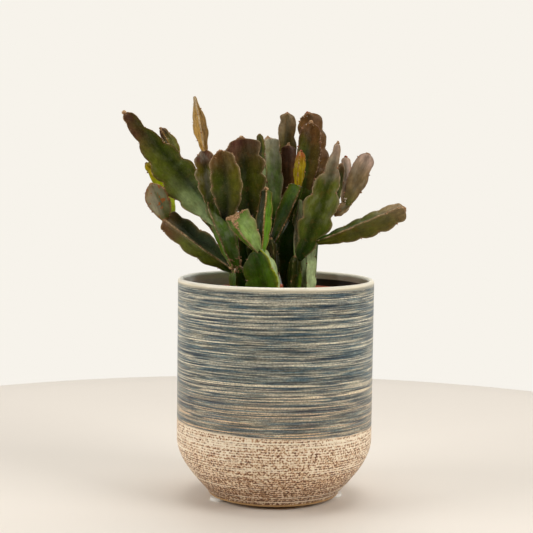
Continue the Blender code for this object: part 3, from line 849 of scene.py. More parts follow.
def loose_material(name, colour, other, scale, roughness):
    """A crumbly material between two colours, with a deep grain."""
    material, tree, shader, place = new_material(name)
    patch = between(tree, noise(tree, place, scale, 4.0, 0.65), 0.38, 0.62)
    mix = mottled(tree, mixed(tree, patch, colour, other), place, scale * 4.0, 0.45)
    fill(tree, shader, {"Base Color": mix, "Roughness": roughness})
    grained(tree, shader, place, scale * 5.0, 0.0006)
    return material


def soil_height(points):
    """Lumps on the soil's top: a slow swell, clods of 7 mm and crumbs of 2 mm."""
    return (drift(points, 24.0, 31) * 0.9 + drift(points, 7.0, 32) * 0.7
            + drift(points, 2.2, 33) * 0.45)


def peat(columns=180, top_rows=52):
    """Rings over the top, down the tapered side and under the floor, as one closed skin."""
    foot = NURSERY_FOOT - NURSERY_WALL - 0.9
    profile = np.concatenate([
        straight((0.8, SOIL_TOP), (SOIL_RADIUS - 0.6, SOIL_TOP), top_rows),
        straight((SOIL_RADIUS, SOIL_TOP - 1.4), (foot, SOIL_BASE + 0.3), 24),
        straight((foot - 0.6, SOIL_BASE), (0.8, SOIL_BASE), 8),
    ])
    points = turned_points(profile, columns)
    points[:top_rows, :, 2] += soil_height(points[:top_rows] * (1.0, 1.0, 0.0))
    top_middle = SOIL_TOP + soil_height(np.zeros(3))
    centres = np.array([[0.0, 0.0, top_middle], [0.0, 0.0, SOIL_BASE]])
    return new_piece("peat", np.concatenate([points.reshape(-1, 3), centres]),
                     *closed_tube(len(profile), columns), PEAT)


PEAT = loose_material("peat", screen(34, 24, 18), screen(64, 46, 34), 320.0, 0.95)
soil_piece = peat()
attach(soil_piece, "root")
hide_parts("soil")

# %% A rough pebble and its copies
FULL_TURN = 6.28


def pebble_shape(rows=5, columns=7):
    """A unit sphere as a short tube of rings with two end points. The rings climb, so the order
    of each face's corners is reversed, for it to look outwards."""
    latitude = np.linspace(-0.5 * math.pi, 0.5 * math.pi, rows + 2)[1:-1]
    longitude = np.arange(columns) * (2.0 * math.pi / columns)
    ring = np.cos(latitude)[:, None]
    points = np.stack([
        ring * np.cos(longitude), ring * np.sin(longitude),
        np.broadcast_to(np.sin(latitude)[:, None], (rows, columns)),
    ], axis=-1).reshape(-1, 3)
    points = np.concatenate([points, [[0, 0, -1.0], [0, 0, 1.0]]])
    quads, fans = closed_tube(rows, columns)
    return points, quads[:, ::-1], fans[:, ::-1]


def turns(angles):
    """Rotation matrices about z, then x, from an array of (z turn, x turn) in radians."""
    cz, sz = np.cos(angles[:, 0]), np.sin(angles[:, 0])
    cx, sx = np.cos(angles[:, 1]), np.sin(angles[:, 1])
    zero, one = np.zeros_like(cz), np.ones_like(cz)
    about_z = np.stack([cz, -sz, zero, sz, cz, zero, zero, zero, one], axis=-1).reshape(-1, 3, 3)
    about_x = np.stack([one, zero, zero, zero, cx, -sx, zero, sx, cx], axis=-1).reshape(-1, 3, 3)
    return about_z @ about_x


def copies(shape, centres, sizes, rotations, roughen, seed):
    """One shape copied to every centre: scaled, made uneven, turned and moved, all at once."""
    points, quads, fans = shape
    scaled = points[None] * sizes[:, None, :]
    uneven = 1.0 + roughen * drift(scaled * 3.0 + centres[:, None, :] * 7.0, 2.0, seed)
    turned = np.einsum("nij,nkj->nki", rotations, scaled * uneven[..., None])
    all_points = (turned + centres[:, None, :]).reshape(-1, 3)
    first = np.arange(len(centres))[:, None, None] * len(points)
    return all_points, (quads + first).reshape(-1, 4), (fans + first).reshape(-1, 3)


def pebbles(name, shape, centres, sizes, random, roughen, seed, material):
    """Copies of a pebble, each turned at random, as one piece."""
    turned = turns(random.uniform(0, FULL_TURN, (len(centres), 2)))
    return new_piece(name, *copies(shape, centres, sizes, turned, roughen, seed), material)


print("a pebble has", len(pebble_shape()[0]), "points")

# %% Bark chips and grit
CHIPS = 420
GRAINS = 260


def scattered(count, seed):
    """Places on the soil, whose radius is the root of an even random number, and the random
    numbers' source, for what is drawn next."""
    random = np.random.default_rng(seed)
    radius = (SOIL_RADIUS - 3.0) * np.sqrt(random.uniform(0.0, 1.0, count))
    angle = random.uniform(0.0, 2.0 * math.pi, count)
    flat = np.stack([radius * np.cos(angle), radius * np.sin(angle), np.zeros(count)], axis=-1)
    flat[:, 2] = SOIL_TOP + soil_height(flat)
    return flat, random


def bark_chips():
    """Flat chips of bark, two to six millimetres long, lying nearly level."""
    centres, random = scattered(CHIPS, 41)
    sizes = random.uniform((1.3, 0.8, 0.4), (3.4, 1.8, 0.9), (CHIPS, 3))
    angles = [random.uniform(0, FULL_TURN, CHIPS), random.normal(0, 0.35, CHIPS)]
    chips = copies(pebble_shape(), centres, sizes, turns(np.stack(angles, axis=-1)), 0.35, 42)
    return new_piece("bark_chips", *chips, BARK)


def white_grit():
    """Pale grains of pumice, one to three millimetres across."""
    centres, random = scattered(GRAINS, 43)
    sizes = random.uniform(0.5, 1.4, (GRAINS, 1)) * random.uniform(0.7, 1.1, (GRAINS, 3))
    return pebbles("white_grit", pebble_shape(), centres, sizes, random, 0.3, 44, GRIT)


BARK = loose_material("bark", screen(92, 62, 40), screen(52, 34, 24), 500.0, 0.9)
GRIT = loose_material("grit", screen(206, 198, 182), screen(168, 156, 138), 500.0, 0.9)
for loose in (bark_chips(), white_grit()):
    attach(loose, "root")

# %% [markdown]
# ## How the cactus grows
#
# Each rooted stem is a chain of leaf-like segments, and a new segment grows out of an areole of
# an older one. A segment is either flat with two wings, folded like a trough, or three-winged
# with a ridge on its face. The table repeats the solid model's numbers, because the skin has to
# lie where the solids are: where a segment starts on its parent, where its tip is, how wide it
# is, which way it faces and how many rounded teeth its margins have. The last entries name the
# tints of its base, its middle, its tip, its right flank and its margin. The flank's tint is
# partly painted light and shade on that side, and a pale margin tint is partly a painted
# highlight. They also say how waxy and how scarred the skin is, with the waxy haze partly a
# painted sheen, where the flank's and the margin's tints start, and how deep the teeth are cut.
#
# A form lists its wings, each with an angle in degrees about the middle line and a share of the
# full reach. After that come the half thickness in each valley between wings, and which wing is
# the left and which the right one.

# %% Forms and tints
Form = namedtuple("Form", "wings valleys left right")
FORMS = {
    "flat": Form(((0, 1.0), (180, 1.0)), (2.1, 2.1), 1, 0),
    "trough": Form(((14, 1.0), (166, 1.0), (270, 0.38)), (1.5, 2.4, 2.4), 1, 0),
    "ridge": Form(((90, 0.85), (208, 1.0), (332, 1.0)), (2.9, 2.7, 2.9), 1, 2),
}
# The darkest tints, night and dusk, are mostly painted shade for stems deep in the plant's
# shadow.
TINTS = {name: screen(*levels) for name, levels in {
    "night": (12, 22, 3),
    "dusk": (20, 38, 4),
    "deep": (38, 66, 6),
    "leaf": (68, 98, 12),
    "bright": (86, 120, 16),
    "fresh": (88, 128, 28),
    "sage": (126, 150, 80),
    "celadon": (156, 174, 122),
    "mint": (186, 206, 146),
    "fern": (86, 94, 24),
    "moss": (60, 70, 12),
    "olive": (92, 86, 22),
    "bronze": (108, 78, 30),
    "umber": (98, 66, 34),
    "plum": (78, 46, 34),
    "wine": (96, 60, 48),
    "mauve": (140, 112, 98),
    "blush": (188, 160, 142),
    "pewter": (144, 138, 112),
    "tan": (172, 148, 110),
    "straw": (176, 138, 72),
    "honey": (168, 132, 34),
    "cream": (218, 198, 160),
    "gold": (160, 138, 12),
    "lime": (178, 192, 6),
    "clay": (134, 112, 78),
    "rust": (156, 78, 34),
}.items()}
Segment = namedtuple("Segment", "name parent foot tip width form facing lobes peak taper blunt "
                     "bow tints wax flank flank_from edge edge_from scars teeth")
BOTH_MARGINS = -99.0


def segment(name, parent, foot, tip, width, form="flat", facing=(0, 0), lobes=4, peak=0.5,
            taper=0.8, blunt=0.0, bow=(0, 0, 0), tints="deep leaf bronze", wax=0.2,
            flank=("moss", 0.0), flank_from=0.0, edge="bronze", edge_from=BOTH_MARGINS,
            scars=0.1, teeth=0.8):
    """A row of the table, with the usual values filled in. Foot is a place on the soil, or how
    far along the parent, how far out to its left or right margin, and how far behind its face.
    The flank is a tint over the right-hand side and its share, from some millimetres beside the
    middle line; it is partly the side's own colour and partly painted light on a lit side and
    painted shade on a shaded one. The edge is the margin's tint, right of edge_from in
    millimetres, and a pale one is partly a painted highlight along margins and ridges. The waxy
    haze is partly a painted sheen. Scars are patches of dry skin, and teeth is how deep the
    scallops are cut."""
    return Segment(name, parent, foot, tip, width, form, facing, lobes, peak, taper, blunt, bow,
                   tints.split(), wax, flank, flank_from, edge, edge_from, scars, teeth)


print(len(TINTS), "tints:", ", ".join(TINTS))

# %% The stems in front
STEMS = {
    "stem_long_left": [
        segment("base", None, (-25, -23), (-26, -24, 161), 15, "ridge", (-14, 0), 2,
            tints="deep deep leaf", wax=0.05, edge="deep"),
        segment("fork", "base", (0.8, 0), (-46, -22, 204), 16, "ridge", (-20, 0),
            tints="leaf leaf moss", wax=0.4, flank=("leaf", 0.3), edge="clay", teeth=0.5),
        # The long segment's pale celadon base is partly a painted sheen.
        segment("long", "fork", (0.67, 0.1), (-104.3, -5, 263), 28, "trough", (-4, 10), 6, 0.39,
            0.32, bow=(-0.9, 9, 0.2), tints="celadon fern plum", wax=0.1, flank=("moss", 0.85),
            flank_from=2.2, teeth=1.0),
        segment("behind", "long", (0.52, 0.5, 2.2), (-80.5, 5, 253), 11, "ridge", (-10, 0), 3,
            0.5, 0.6, bow=(1, 3, 0.5), tints="olive olive wine", wax=0.1, flank=("moss", 0.5),
            edge="straw", teeth=0.5),
        segment("dark", "fork", (0.95, 0), (-49, -22, 239), 16.5, "trough", (-14, 0), 4, 0.6,
            0.85, tints="moss olive wine", wax=0.6, edge="tan", teeth=0.9),
        segment("pale", "dark", (0.97, 0), (-56, -19, 274), 11, "ridge", (3, 0), 3, 0.5, 0.25,
            tints="straw straw tan", wax=0.1, flank=("bronze", 0.85), edge="cream", teeth=0.5),
        segment("front", "fork", (0.7, 0.8), (-38.5, -31, 238), 22, "trough", (-4, 0), 5, 0.52,
            0.8, 0.2, (3, -5, 0), tints="night moss umber", wax=0.1, flank=("olive", 0.5),
            edge="tan", teeth=0.5),
    ],
    "stem_low_left": [
        segment("base", None, (-27, -5), (-28, -7, 160), 12, "ridge", (-10, 0), 2,
            tints="deep leaf leaf", wax=0, edge="deep"),
        segment("arching", "base", (0.85, -0.2), (-76.3, -13, 191.8), 22.5, "ridge", (-8, 8), 4,
            0.5, 0.85, 0.6, tints="deep fern umber", wax=0.03, flank=("dusk", 0.95), edge="tan",
            scars=0.03, teeth=0.7),
        segment("withered", "arching", (0.97, 0), (-85, -16, 215.5), 17, "flat", (-12, 0), 2,
            0.55, 0.75, tints="olive pewter clay", wax=0.4, flank=("moss", 0.75), edge="rust",
            scars=1.0, teeth=0.3),
        # The bright segment's lime is partly a painted glow of light shining through the young
        # skin.
        segment("bright", "arching", (0.93, 0.2), (-91, 8, 229), 10.5, "flat", (10, 0), 3, 0.5,
            0.6, bow=(4, 8, 0), tints="lime lime gold", wax=0, edge="lime", scars=0, teeth=0.3),
    ],
    "stem_front": [
        segment("base", None, (0, -34), (-12.3, -38, 174), 31, "ridge", (32, 0), 3, 0.5, 0.72,
            0.3, tints="deep leaf deep", wax=0.1, flank=("mint", 0.85), edge="lime",
            edge_from=-4.0),
        segment("cut", "base", (0.93, 0), (-28, -46, 196), 20, "ridge", (-20, 0), 3, 0.75, 1.0,
            0.85, tints="moss leaf leaf", wax=0.15, flank=("sage", 0.85), edge="tan", scars=0.2,
            teeth=0.4),
        segment("rear", "base", (0.88, 0.1), (-7.5, -27, 213), 12.5, "ridge", (2, 0), 4, 0.5, 0.7,
            0.6, tints="dusk dusk dusk", wax=0.03, flank=("fresh", 0.85), edge="straw",
            teeth=0.5),
    ],
    "stem_centre": [
        segment("base", None, (-10, 0), (-17, 2, 188), 16, "flat", (38, 0), 3,
            tints="dusk dusk deep", wax=0, edge="deep"),
        segment("broad", "base", (0.93, 0), (-25, 0, 247), 29, "trough", (-2, 0), 5, 0.64, 0.86,
            0.62, tints="night moss wine", wax=0.1, flank=("olive", 0.35), edge="tan", teeth=1.2),
        segment("peak", "broad", (0.62, 0.4, 2.2), (-12.5, 6.5, 250), 9.5, "flat", (12, 0), 2,
            0.5, 0.5, bow=(2, 2, 0), tints="moss moss olive", wax=0.15, edge="clay"),
    ],
    "stem_centre_grey": [
        segment("base", None, (-1, 12), (-2, 15, 192), 14, "ridge", (150, 0), 3,
            tints="dusk deep deep", wax=0, edge="deep"),
        segment("waxy", "base", (0.92, 0), (-7.2, 15, 247.5), 18, "ridge", (-22, 0), 4, 0.6,
            0.95, 0.7, tints="leaf sage pewter", wax=0.75, flank=("leaf", 0.2), edge="tan",
            teeth=0.5),
    ],
    "stem_slant": [
        segment("base", None, (-1, -13), (-3.5, -15.5, 180), 11, "ridge", (10, 0), 3,
            tints="night night dusk", wax=0, edge="deep"),
        segment("slanting", "base", (0.9, 0.2), (14.5, -10, 216), 14, "ridge", (24, 0), 3, 0.6,
            0.95, 0.6, tints="night deep leaf", wax=0, flank=("deep", 0.5), teeth=0.3),
        segment("yellow", "slanting", (0.96, 0), (15.5, -10, 238.5), 9.5, "ridge", (-12, 0), 3,
            0.55, 0.75, tints="gold gold rust", wax=0, edge="honey", teeth=0.5),
    ],
    "stem_right": [
        segment("base", None, (10.5, -14), (12.3, -20, 168), 12.5, "ridge", (-18, 0), 2, 0.5, 0.7,
            tints="night dusk dusk", wax=0, flank=("bright", 0.9), flank_from=3.6, edge="deep",
            teeth=0.5),
        segment("leafy", "base", (0.93, 0.6), (40, -19, 244.5), 24.5, "trough", (4, 0), 5, 0.42,
            0.2, bow=(2.7, 0, 0), tints="deep fern blush", wax=0.3, edge="tan", teeth=1.25),
        segment("pale_wing", "base", (0.9, 0.3), (15.5, -9, 206), 8, "ridge", (-30, 0), 2, 0.5,
            0.5, 0.3, tints="sage pewter celadon", wax=0.6, edge="pewter", teeth=0.4),
        segment("reaching", "leafy", (0.19, 0.85), (84.6, -27, 201.5), 19, "ridge", (-4, 22), 5,
            0.7, 0.85, 0.5, (0, 0, -1.2), tints="deep moss clay", wax=0.06, flank=("olive", 0.6),
            edge="tan", teeth=0.7),
        segment("bridge", "leafy", (0.44, 0.88, 1.2), (48.5, -15, 203.5), 8, "flat", (0, -10), 2,
            0.5, 0.7, tints="umber clay clay", edge="clay", scars=0.6),
        segment("outer", "bridge", (0.78, 0.1), (60.5, -17, 237.5), 14, "flat", (6, 0), 3, 0.55,
            0.85, tints="fern clay blush", wax=0.4, edge="mauve", teeth=0.25),
        segment("small_dark", "leafy", (0.56, 0.85, 1.5), (43.5, -9, 230.5), 8.5, "flat", (10, 0),
            2, 0.5, 0.6, bow=(-0.7, 1, 0), tints="moss moss umber", wax=0.1, edge="cream",
            teeth=0.4),
        segment("small_rear", "bridge", (0.75, 0.2), (47, 6, 235), 8.5, "flat", (-8, 0), 2, 0.6,
            bow=(0, 4, 0), tints="clay mauve blush", wax=0.4, edge="tan"),
    ],
    "stem_upright": [
        segment("base", None, (22, -11), (21.5, -8, 176), 12.5, "ridge", (-14, 0), 3,
            tints="mint mint celadon", wax=0.3, flank=("celadon", 0.5), edge="mint", teeth=0.6),
        segment("middle", "base", (0.92, 0), (18.5, 0, 214), 20, "flat", (0, 0), 3, 0.6, 0.95,
            tints="dusk deep moss", wax=0.1, edge="moss"),
        segment("brown", "middle", (0.85, 0), (22.5, 3, 258), 17, "trough", (4, 0), 4, 0.6,
            tints="moss moss umber", wax=0.1, flank=("umber", 0.5), edge="wine", teeth=0.3),
    ],
    "stem_tall_right": [
        segment("base", None, (21, 15), (22, 18, 206), 15, "flat", (50, 0),
            tints="dusk deep deep", wax=0.1),
        segment("top", "base", (0.95, 0), (20.5, 18, 265), 21, "flat", (12, 0), 5, 0.5, 0.85,
            0.4, (4, 0, 0), tints="leaf umber umber", wax=0.1, edge="clay", teeth=0.9),
    ],
    "stem_tall": [
        segment("base", None, (9, 28), (7, 30, 202), 17, "ridge", (176, 0),
            tints="dusk deep deep", wax=0.1),
        segment("top", "base", (0.93, 0), (6.5, 29, 265), 13, "flat", (0, 0), 4, 0.6, 0.9, 0.5,
            tints="moss olive clay", wax=0.25, edge="clay", teeth=1.1),
        segment("dark", "base", (0.82, 0), (7.5, 18, 242.5), 12.5, "flat", (4, 0), 3, 0.55, 0.9,
            0.5, (0, -4, 0), tints="dusk umber plum", wax=0.1, edge="umber", teeth=0.5),
    ],
}
print(len(STEMS), "stems in front")

# %% The stems at the sides and behind
STEMS |= {
    "stem_side_left": [
        segment("base", None, (-29, 9), (-33, 12, 178), 18, "flat", (268, 0), 3,
            tints="deep leaf leaf", wax=0.15),
        segment("upper", "base", (0.92, 0), (-38, 18, 216), 19, "flat", (258, 0), 4, 0.55,
            bow=(0, 2, 0), tints="leaf moss olive", wax=0.25),
    ],
    "stem_side_right": [
        segment("base", None, (25, 2), (27, 4, 180), 15, "flat", (86, 0), 3,
            tints="deep leaf leaf", wax=0.15),
        segment("upper", "base", (0.92, 0), (31, 9, 219), 15, "trough", (80, 0), 4, 0.55, 0.75,
            tints="leaf moss bronze"),
    ],
    "stem_inner": [
        segment("base", None, (-19, 21), (-22, 25, 194), 18, "ridge", (196, 0),
            tints="dusk deep leaf", wax=0.1),
        segment("upper", "base", (0.93, 0), (-25, 27, 240), 19, "flat", (216, 0), 4, 0.55, 0.85,
            0.2, tints="deep moss bronze"),
    ],
    "stem_back_left": [
        segment("base", None, (-23, 32), (-30, 44, 188), 19, "trough", (212, 0),
            tints="deep leaf fresh"),
        segment("upper", "base", (0.92, 0), (-44, 50, 228), 20, "trough", (206, 0), 4, 0.55,
            0.8, 0.2, tints="leaf olive umber", wax=0.3, edge="clay"),
        segment("side", "base", (0.7, 0.7), (-61, 30, 205), 15, "ridge", (240, 20), 3, 0.55, 0.6,
            tints="leaf moss bronze", flank=("sage", 0.5)),
    ],
    "stem_back_middle": [
        segment("base", None, (-7, 41), (-12, 56, 186), 22, "ridge", (178, 0),
            tints="leaf fresh leaf", wax=0.3, flank=("sage", 0.6), edge="fresh"),
        segment("upper", "base", (0.93, 0), (-18, 66, 224), 20, "trough", (184, 0), 4, 0.55,
            tints="leaf moss umber", wax=0.3, edge="clay"),
        segment("young", "base", (0.88, -0.6), (3, 64, 214), 12, "ridge", (150, 0), 3, 0.45, 0.4,
            tints="fresh olive gold", wax=0.1, edge="straw"),
        segment("low", "base", (0.62, 0.7), (-30, 74, 176), 15, "ridge", (196, 40), 3, 0.55, 0.6,
            tints="leaf moss olive", flank=("deep", 0.6)),
    ],
    "stem_back_right": [
        segment("base", None, (17, 38), (22, 53, 182), 18, "trough", (150, 0),
            tints="deep leaf leaf"),
        segment("upper", "base", (0.92, 0), (30, 60, 224), 19, "flat", (142, 0), 4, 0.5, 0.75,
            tints="leaf olive umber", wax=0.3, edge="clay"),
        segment("low", "base", (0.6, -0.7), (24, 77, 177), 14, "ridge", (160, 30), 3, 0.55, 0.6,
            tints="leaf moss bronze", flank=("sage", 0.5)),
    ],
}

print(len(STEMS), "stems with", sum(len(rows) for rows in STEMS.values()), "segments")

# %% [markdown]
# ## The shape of one segment
#
# The middle line of a segment is a curve through three points, and a frame of three directions
# travels along it: the run, the face, and the side. Across it stands a section with a wing for
# each entry of its form. How far a wing reaches depends on where along the segment it is: it
# grows from a narrow neck, is widest at its peak, and is cut by a row of rounded teeth. All of
# this is worked out for every station at once.

# %% Middle line and frame
FOOT_ABOVE_SOIL = 2.5


def chord(row, base):
    """The straight distance from a segment's start to its tip."""
    return np.linalg.norm(np.array(row.tip, float) - base)


def curve_points(row, base, t):
    """Points of the bent middle line: (1-t)^2 base + 2t(1-t) middle + t^2 tip."""
    tip = np.array(row.tip, float)
    middle = 0.5 * (base + tip) + 2.0 * np.array(row.bow, float)
    t = np.asarray(t, float)[..., None]
    points = (1 - t) ** 2 * base + 2 * t * (1 - t) * middle + t * t * tip
    run = 2 * (1 - t) * (middle - base) + 2 * t * (tip - middle)
    return points, run / np.linalg.norm(run, axis=-1, keepdims=True)


def directions(row, run):
    """Side and face at each station: the face is the row's facing, made square to the run."""
    turn, lift = np.radians(row.facing)
    facing = np.array([math.sin(turn) * math.cos(lift), -math.cos(turn) * math.cos(lift),
                       math.sin(lift)])
    face = facing - (run @ facing)[..., None] * run
    face /= np.linalg.norm(face, axis=-1, keepdims=True)
    return np.cross(run, face), face


def wing_direction(degrees, side, face):
    """From the middle line out to a wing's edge: cosine times side plus sine times face."""
    angle = math.radians(degrees)
    return math.cos(angle) * side + math.sin(angle) * face


front_row = STEMS["stem_front"][0]
front_base = np.array([*front_row.foot, SOIL_TOP + FOOT_ABOVE_SOIL])
print("the front stem's first segment, mm long:", round(float(chord(front_row, front_base)), 1))

# %% Reach of a wing
NECK = 2.3
NOTCH_DEPTH = 0.15
PHASE_STEPS = 3
LEAST_TIP = 0.3


def tooth(row, t, phase):
    """The rounded teeth: |sin| to the power 0.6, one hump for each lobe."""
    return np.abs(np.sin(math.pi * (row.lobes * t + phase))) ** 0.6


def plain_notches(row, t, phase, size):
    """What the solid model's notches take off: a share of the wing's size."""
    return NOTCH_DEPTH * np.minimum(1.0, t / 0.12) * (1 - tooth(row, t, phase)) * size


def reach(row, t, phase, length, notches=plain_notches):
    """How far a wing reaches: a quarter sine up to the peak, a half cosine down to the taper,
    less the notches, and a round end."""
    half = 0.5 * row.width
    rise = NECK + (half - NECK) * np.sin(0.5 * math.pi * np.minimum(t / row.peak, 1.0))
    late = np.clip((t - row.peak) / (1 - row.peak), 0.0, 1.0)
    fall = half * (row.taper + (1 - row.taper) * (0.5 + 0.5 * np.cos(math.pi * late)))
    size = np.where(t < row.peak, rise, fall)
    size = size - notches(row, t, phase, size)
    end = half * row.taper * (1 - row.blunt)
    left = np.maximum((1 - t) * length, 0.0)
    inside = np.clip(1 - left / max(end, 1e-6), 0.0, 1.0)
    return size * np.maximum(LEAST_TIP, np.sqrt(1 - inside**2))


def wing_arm(row, base, t, to_right):
    """The arm from the middle line to the left or right wing's edge."""
    form = FORMS[row.form]
    index = form.right if to_right else form.left
    degrees, share = form.wings[index]
    _, run = curve_points(row, base, t)
    out = wing_direction(degrees, *directions(row, run))
    return share * reach(row, t, index / PHASE_STEPS, chord(row, base)) * out


front_length = chord(front_row, front_base)
print("its reach from foot to tip, mm:",
      np.round(reach(front_row, np.linspace(0.0, 1.0, 6), 0.0, front_length), 1))

# %% Where the segments start


def segment_bases(rows):
    """Where each segment starts: at the soil, or inside its parent's core or margin."""
    bases = {}
    by_name = {row.name: row for row in rows}
    for row in rows:
        if row.parent is None:
            bases[row.name] = np.array([*row.foot, SOIL_TOP + FOOT_ABOVE_SOIL])
            continue
        parent = by_name[row.parent]
        along, aside, *behind = row.foot
        start, run = curve_points(parent, bases[row.parent], along)
        _, face = directions(parent, run)
        arm = wing_arm(parent, bases[row.parent], along, aside > 0)
        bases[row.name] = start + abs(aside) * arm - sum(behind) * face
    return bases


def find_segment(stem, name):
    """One row of a stem's table, and where that segment starts."""
    row = next(row for row in STEMS[stem] if row.name == name)
    return row, segment_bases(STEMS[stem])[name]


example = segment_bases(STEMS["stem_front"])
print({name: np.round(base, 1) for name, base in example.items()})

# %% [markdown]
# The real margins are livelier than the solid model's. Each tooth leans towards the tip: it
# swells slowly from the notch below and rounds off sharply at the one above, where the areole
# sits. Smaller scallops and a little drift run along it. So the skin takes its own notches, in
# the same places as the solid's. They are up to a millimetre deeper on a lively margin and
# shallower on a smooth one.

# %% Scalloped margins
SCALLOP_DEPTH = 0.8
FRILL_DEPTH = 0.26


def leaning_tooth(place):
    """A hump over each whole step: 1 - |2u^1.35 - 1|^2.3, with u the place within the step."""
    within = np.mod(place, 1.0)
    return 1.0 - np.abs(2.0 * within**1.35 - 1.0) ** 2.3


def scalloped_notches(row, t, phase, size):
    """What the skin's notches take off: the share of the solid's, a fixed depth on top of it,
    and two smaller scallops on each tooth. A tooth's top swells a little over the solid. The
    segment's own value for its teeth makes all of it weaker or stronger."""
    grown = np.clip((t - 0.03) / 0.12, 0.0, 1.0)
    place = row.lobes * t + phase
    main = leaning_tooth(place)
    frill = leaning_tooth(2.0 * place + 0.2)
    small = np.clip(size / 8.0, 0.25, 1.0)
    cut = NOTCH_DEPTH * size * (1 - main) + SCALLOP_DEPTH * small * (0.72 - main)
    cut += FRILL_DEPTH * small * (0.6 - frill) * main
    return row.teeth * grown * cut


trial = np.linspace(0.2, 0.8, 400)
print("depth of the scallops, mm:",
      round(float(np.ptp(scalloped_notches(front_row, trial, 0.0, np.full(400, 12.0)))), 2))

# %% [markdown]
# The section is drawn in two directions, side and face. Round each wing's edge runs a half
# circle. From there a cubic curve leads down to the valley and another up to the next wing. The
# handles of these curves give the flesh its soft swelling, a little more under each tooth. On
# the broad faces a narrow groove marks the midrib.

# %% Section of a segment
RIM_RADIUS = 0.5
RIM_SHARE = 0.45
RIM_POINTS = 5
FACE_POINTS = 7
HANDLE = 0.38
SWELL_ANGLE = math.radians(12.0)
WIDE_FACE = math.radians(140)
GROOVE_DEPTH = 0.45
GROOVE_WIDTH = 1.3


def cubic(first, handle, other_handle, last, count):
    """Inner points of a cubic curve through four control points, each an array of stations."""
    t = (np.arange(count) + 1.0) / (count + 1.0)
    t = t[None, :, None]
    first, handle, other_handle, last = (
        point[:, None, :] for point in (first, handle, other_handle, last)
    )
    return ((1 - t) ** 3 * first + 3 * t * (1 - t) ** 2 * handle
            + 3 * t * t * (1 - t) * other_handle + t**3 * last)


def unit(angle):
    """The direction at an angle in the section's plane: its cosine and its sine."""
    return np.array([math.cos(angle), math.sin(angle)])


def square_to(direction):
    """A direction turned by a quarter: (x, y) becomes (-y, x)."""
    return np.array([-direction[1], direction[0]])


def slope(arm, out, across, swell, valley, inward):
    """One side of a wing, from its rim down to the valley beside it: a cubic curve whose first
    handle is tilted up by the swelling, and whose second lies in the inward direction."""
    rim = np.minimum(RIM_RADIUS, RIM_SHARE * arm)
    start = (arm - rim) * out + rim * across
    tilt = SWELL_ANGLE * swell
    handle = start + HANDLE * arm * (np.sin(tilt) * across - np.cos(tilt) * out)
    return cubic(start, handle, valley + arm * inward, valley, FACE_POINTS)


def section(form, arms, valleys, swell):
    """Points (side, face) round the section for every station, and how far along its own wing
    each point lies, as a share and in millimetres from the wing's edge."""
    angles = np.radians([degrees for degrees, _ in form.wings])
    bow = np.linspace(-0.5 * math.pi, 0.5 * math.pi, RIM_POINTS)
    parts, shares, insets = [], [], []

    def keep(points, index):
        """Points of one wing, with their share of its length and distance from its edge."""
        arm = arms[:, index, None]
        distance = points @ unit(angles[index])
        parts.append(points)
        shares.append(np.clip(distance / arm, 0.0, 1.0))
        insets.append(arm - distance)

    for index, angle in enumerate(angles):
        after = (index + 1) % len(angles)
        gap = (angles[after] - angle) % (2 * math.pi)
        wide = gap > WIDE_FACE
        out, next_out = unit(angle), unit(angles[after])
        towards = unit(angle + 0.5 * gap)
        inward = -(0.30 if wide else 0.10) * square_to(towards)
        arm, next_arm = arms[:, index, None], arms[:, after, None]

        rim = np.minimum(RIM_RADIUS, RIM_SHARE * arm)
        ring = (arm - rim + rim * np.cos(bow))[..., None] * out
        keep(ring + (rim * np.sin(bow))[..., None] * square_to(out), index)

        valley = valleys[:, index, None] * towards
        keep(slope(arm, out, square_to(out), swell[:, index, None], valley, inward), index)
        parts.append(valley[:, None, :])
        shares.append(np.zeros_like(arm))
        insets.append(arm)
        rising = slope(next_arm, next_out, -square_to(next_out), swell[:, after, None], valley,
                       -inward)
        keep(rising[:, ::-1], after)
        if wide:
            depth = GROOVE_DEPTH * np.minimum(1.0, arm / 8.0)
            for place in (-3, -2, -1):
                offset = parts[place] @ square_to(towards)
                groove = depth * np.exp(-((offset / GROOVE_WIDTH) ** 2))
                parts[place] -= groove[..., None] * towards
    return [np.concatenate(pieces, axis=1) for pieces in (parts, shares, insets)]


print("points round a section:", {name: len(form.wings) * (RIM_POINTS + 2 * FACE_POINTS + 1)
                                  for name, form in FORMS.items()})

# %% Stations and blended tints
STATIONS_PER_LOBE = 20


def stations(row, length):
    """Evenly spaced places along the segment, then ever closer ones round its end."""
    end = 0.5 * row.width * row.taper * (1 - row.blunt) / length
    even = np.linspace(0.0, 1.0 - end, STATIONS_PER_LOBE * row.lobes + 1)
    turn = np.linspace(0.0, 0.5 * math.pi, 9)[1:]
    return np.concatenate([even, 1.0 - end * (1.0 - np.sin(turn))])


def eased(values, low, high):
    """0 below one bound, 1 above the other, and 3t^2 - 2t^3 between them."""
    t = np.clip((values - low) / (high - low), 0.0, 1.0)
    return t * t * (3 - 2 * t)


def blend_tints(row, t):
    """Colour along the segment: the first tint, then the second, then the third, eased."""
    first, second, third = (np.array(TINTS[name]) for name in row.tints)
    early = eased(t, 0.0, 0.45)[..., None]
    late = eased(t, 0.58, 0.96)[..., None]
    return first * (1 - early) + second * early * (1 - late) + third * late


def over(colour, tint, share):
    """A tint laid over colours, by a share at each point."""
    return colour * (1 - share[..., None]) + np.array(TINTS[tint]) * share[..., None]


print("stations on the same segment:", len(stations(front_row, front_length)))

# %% Colours and skin of a segment
LEAST_ARM = 1.1
CAP_TURNS = np.radians([30.0, 55.0, 78.0])
CAP_ROWS = len(CAP_TURNS)
ROOTED_RIM = 0.3


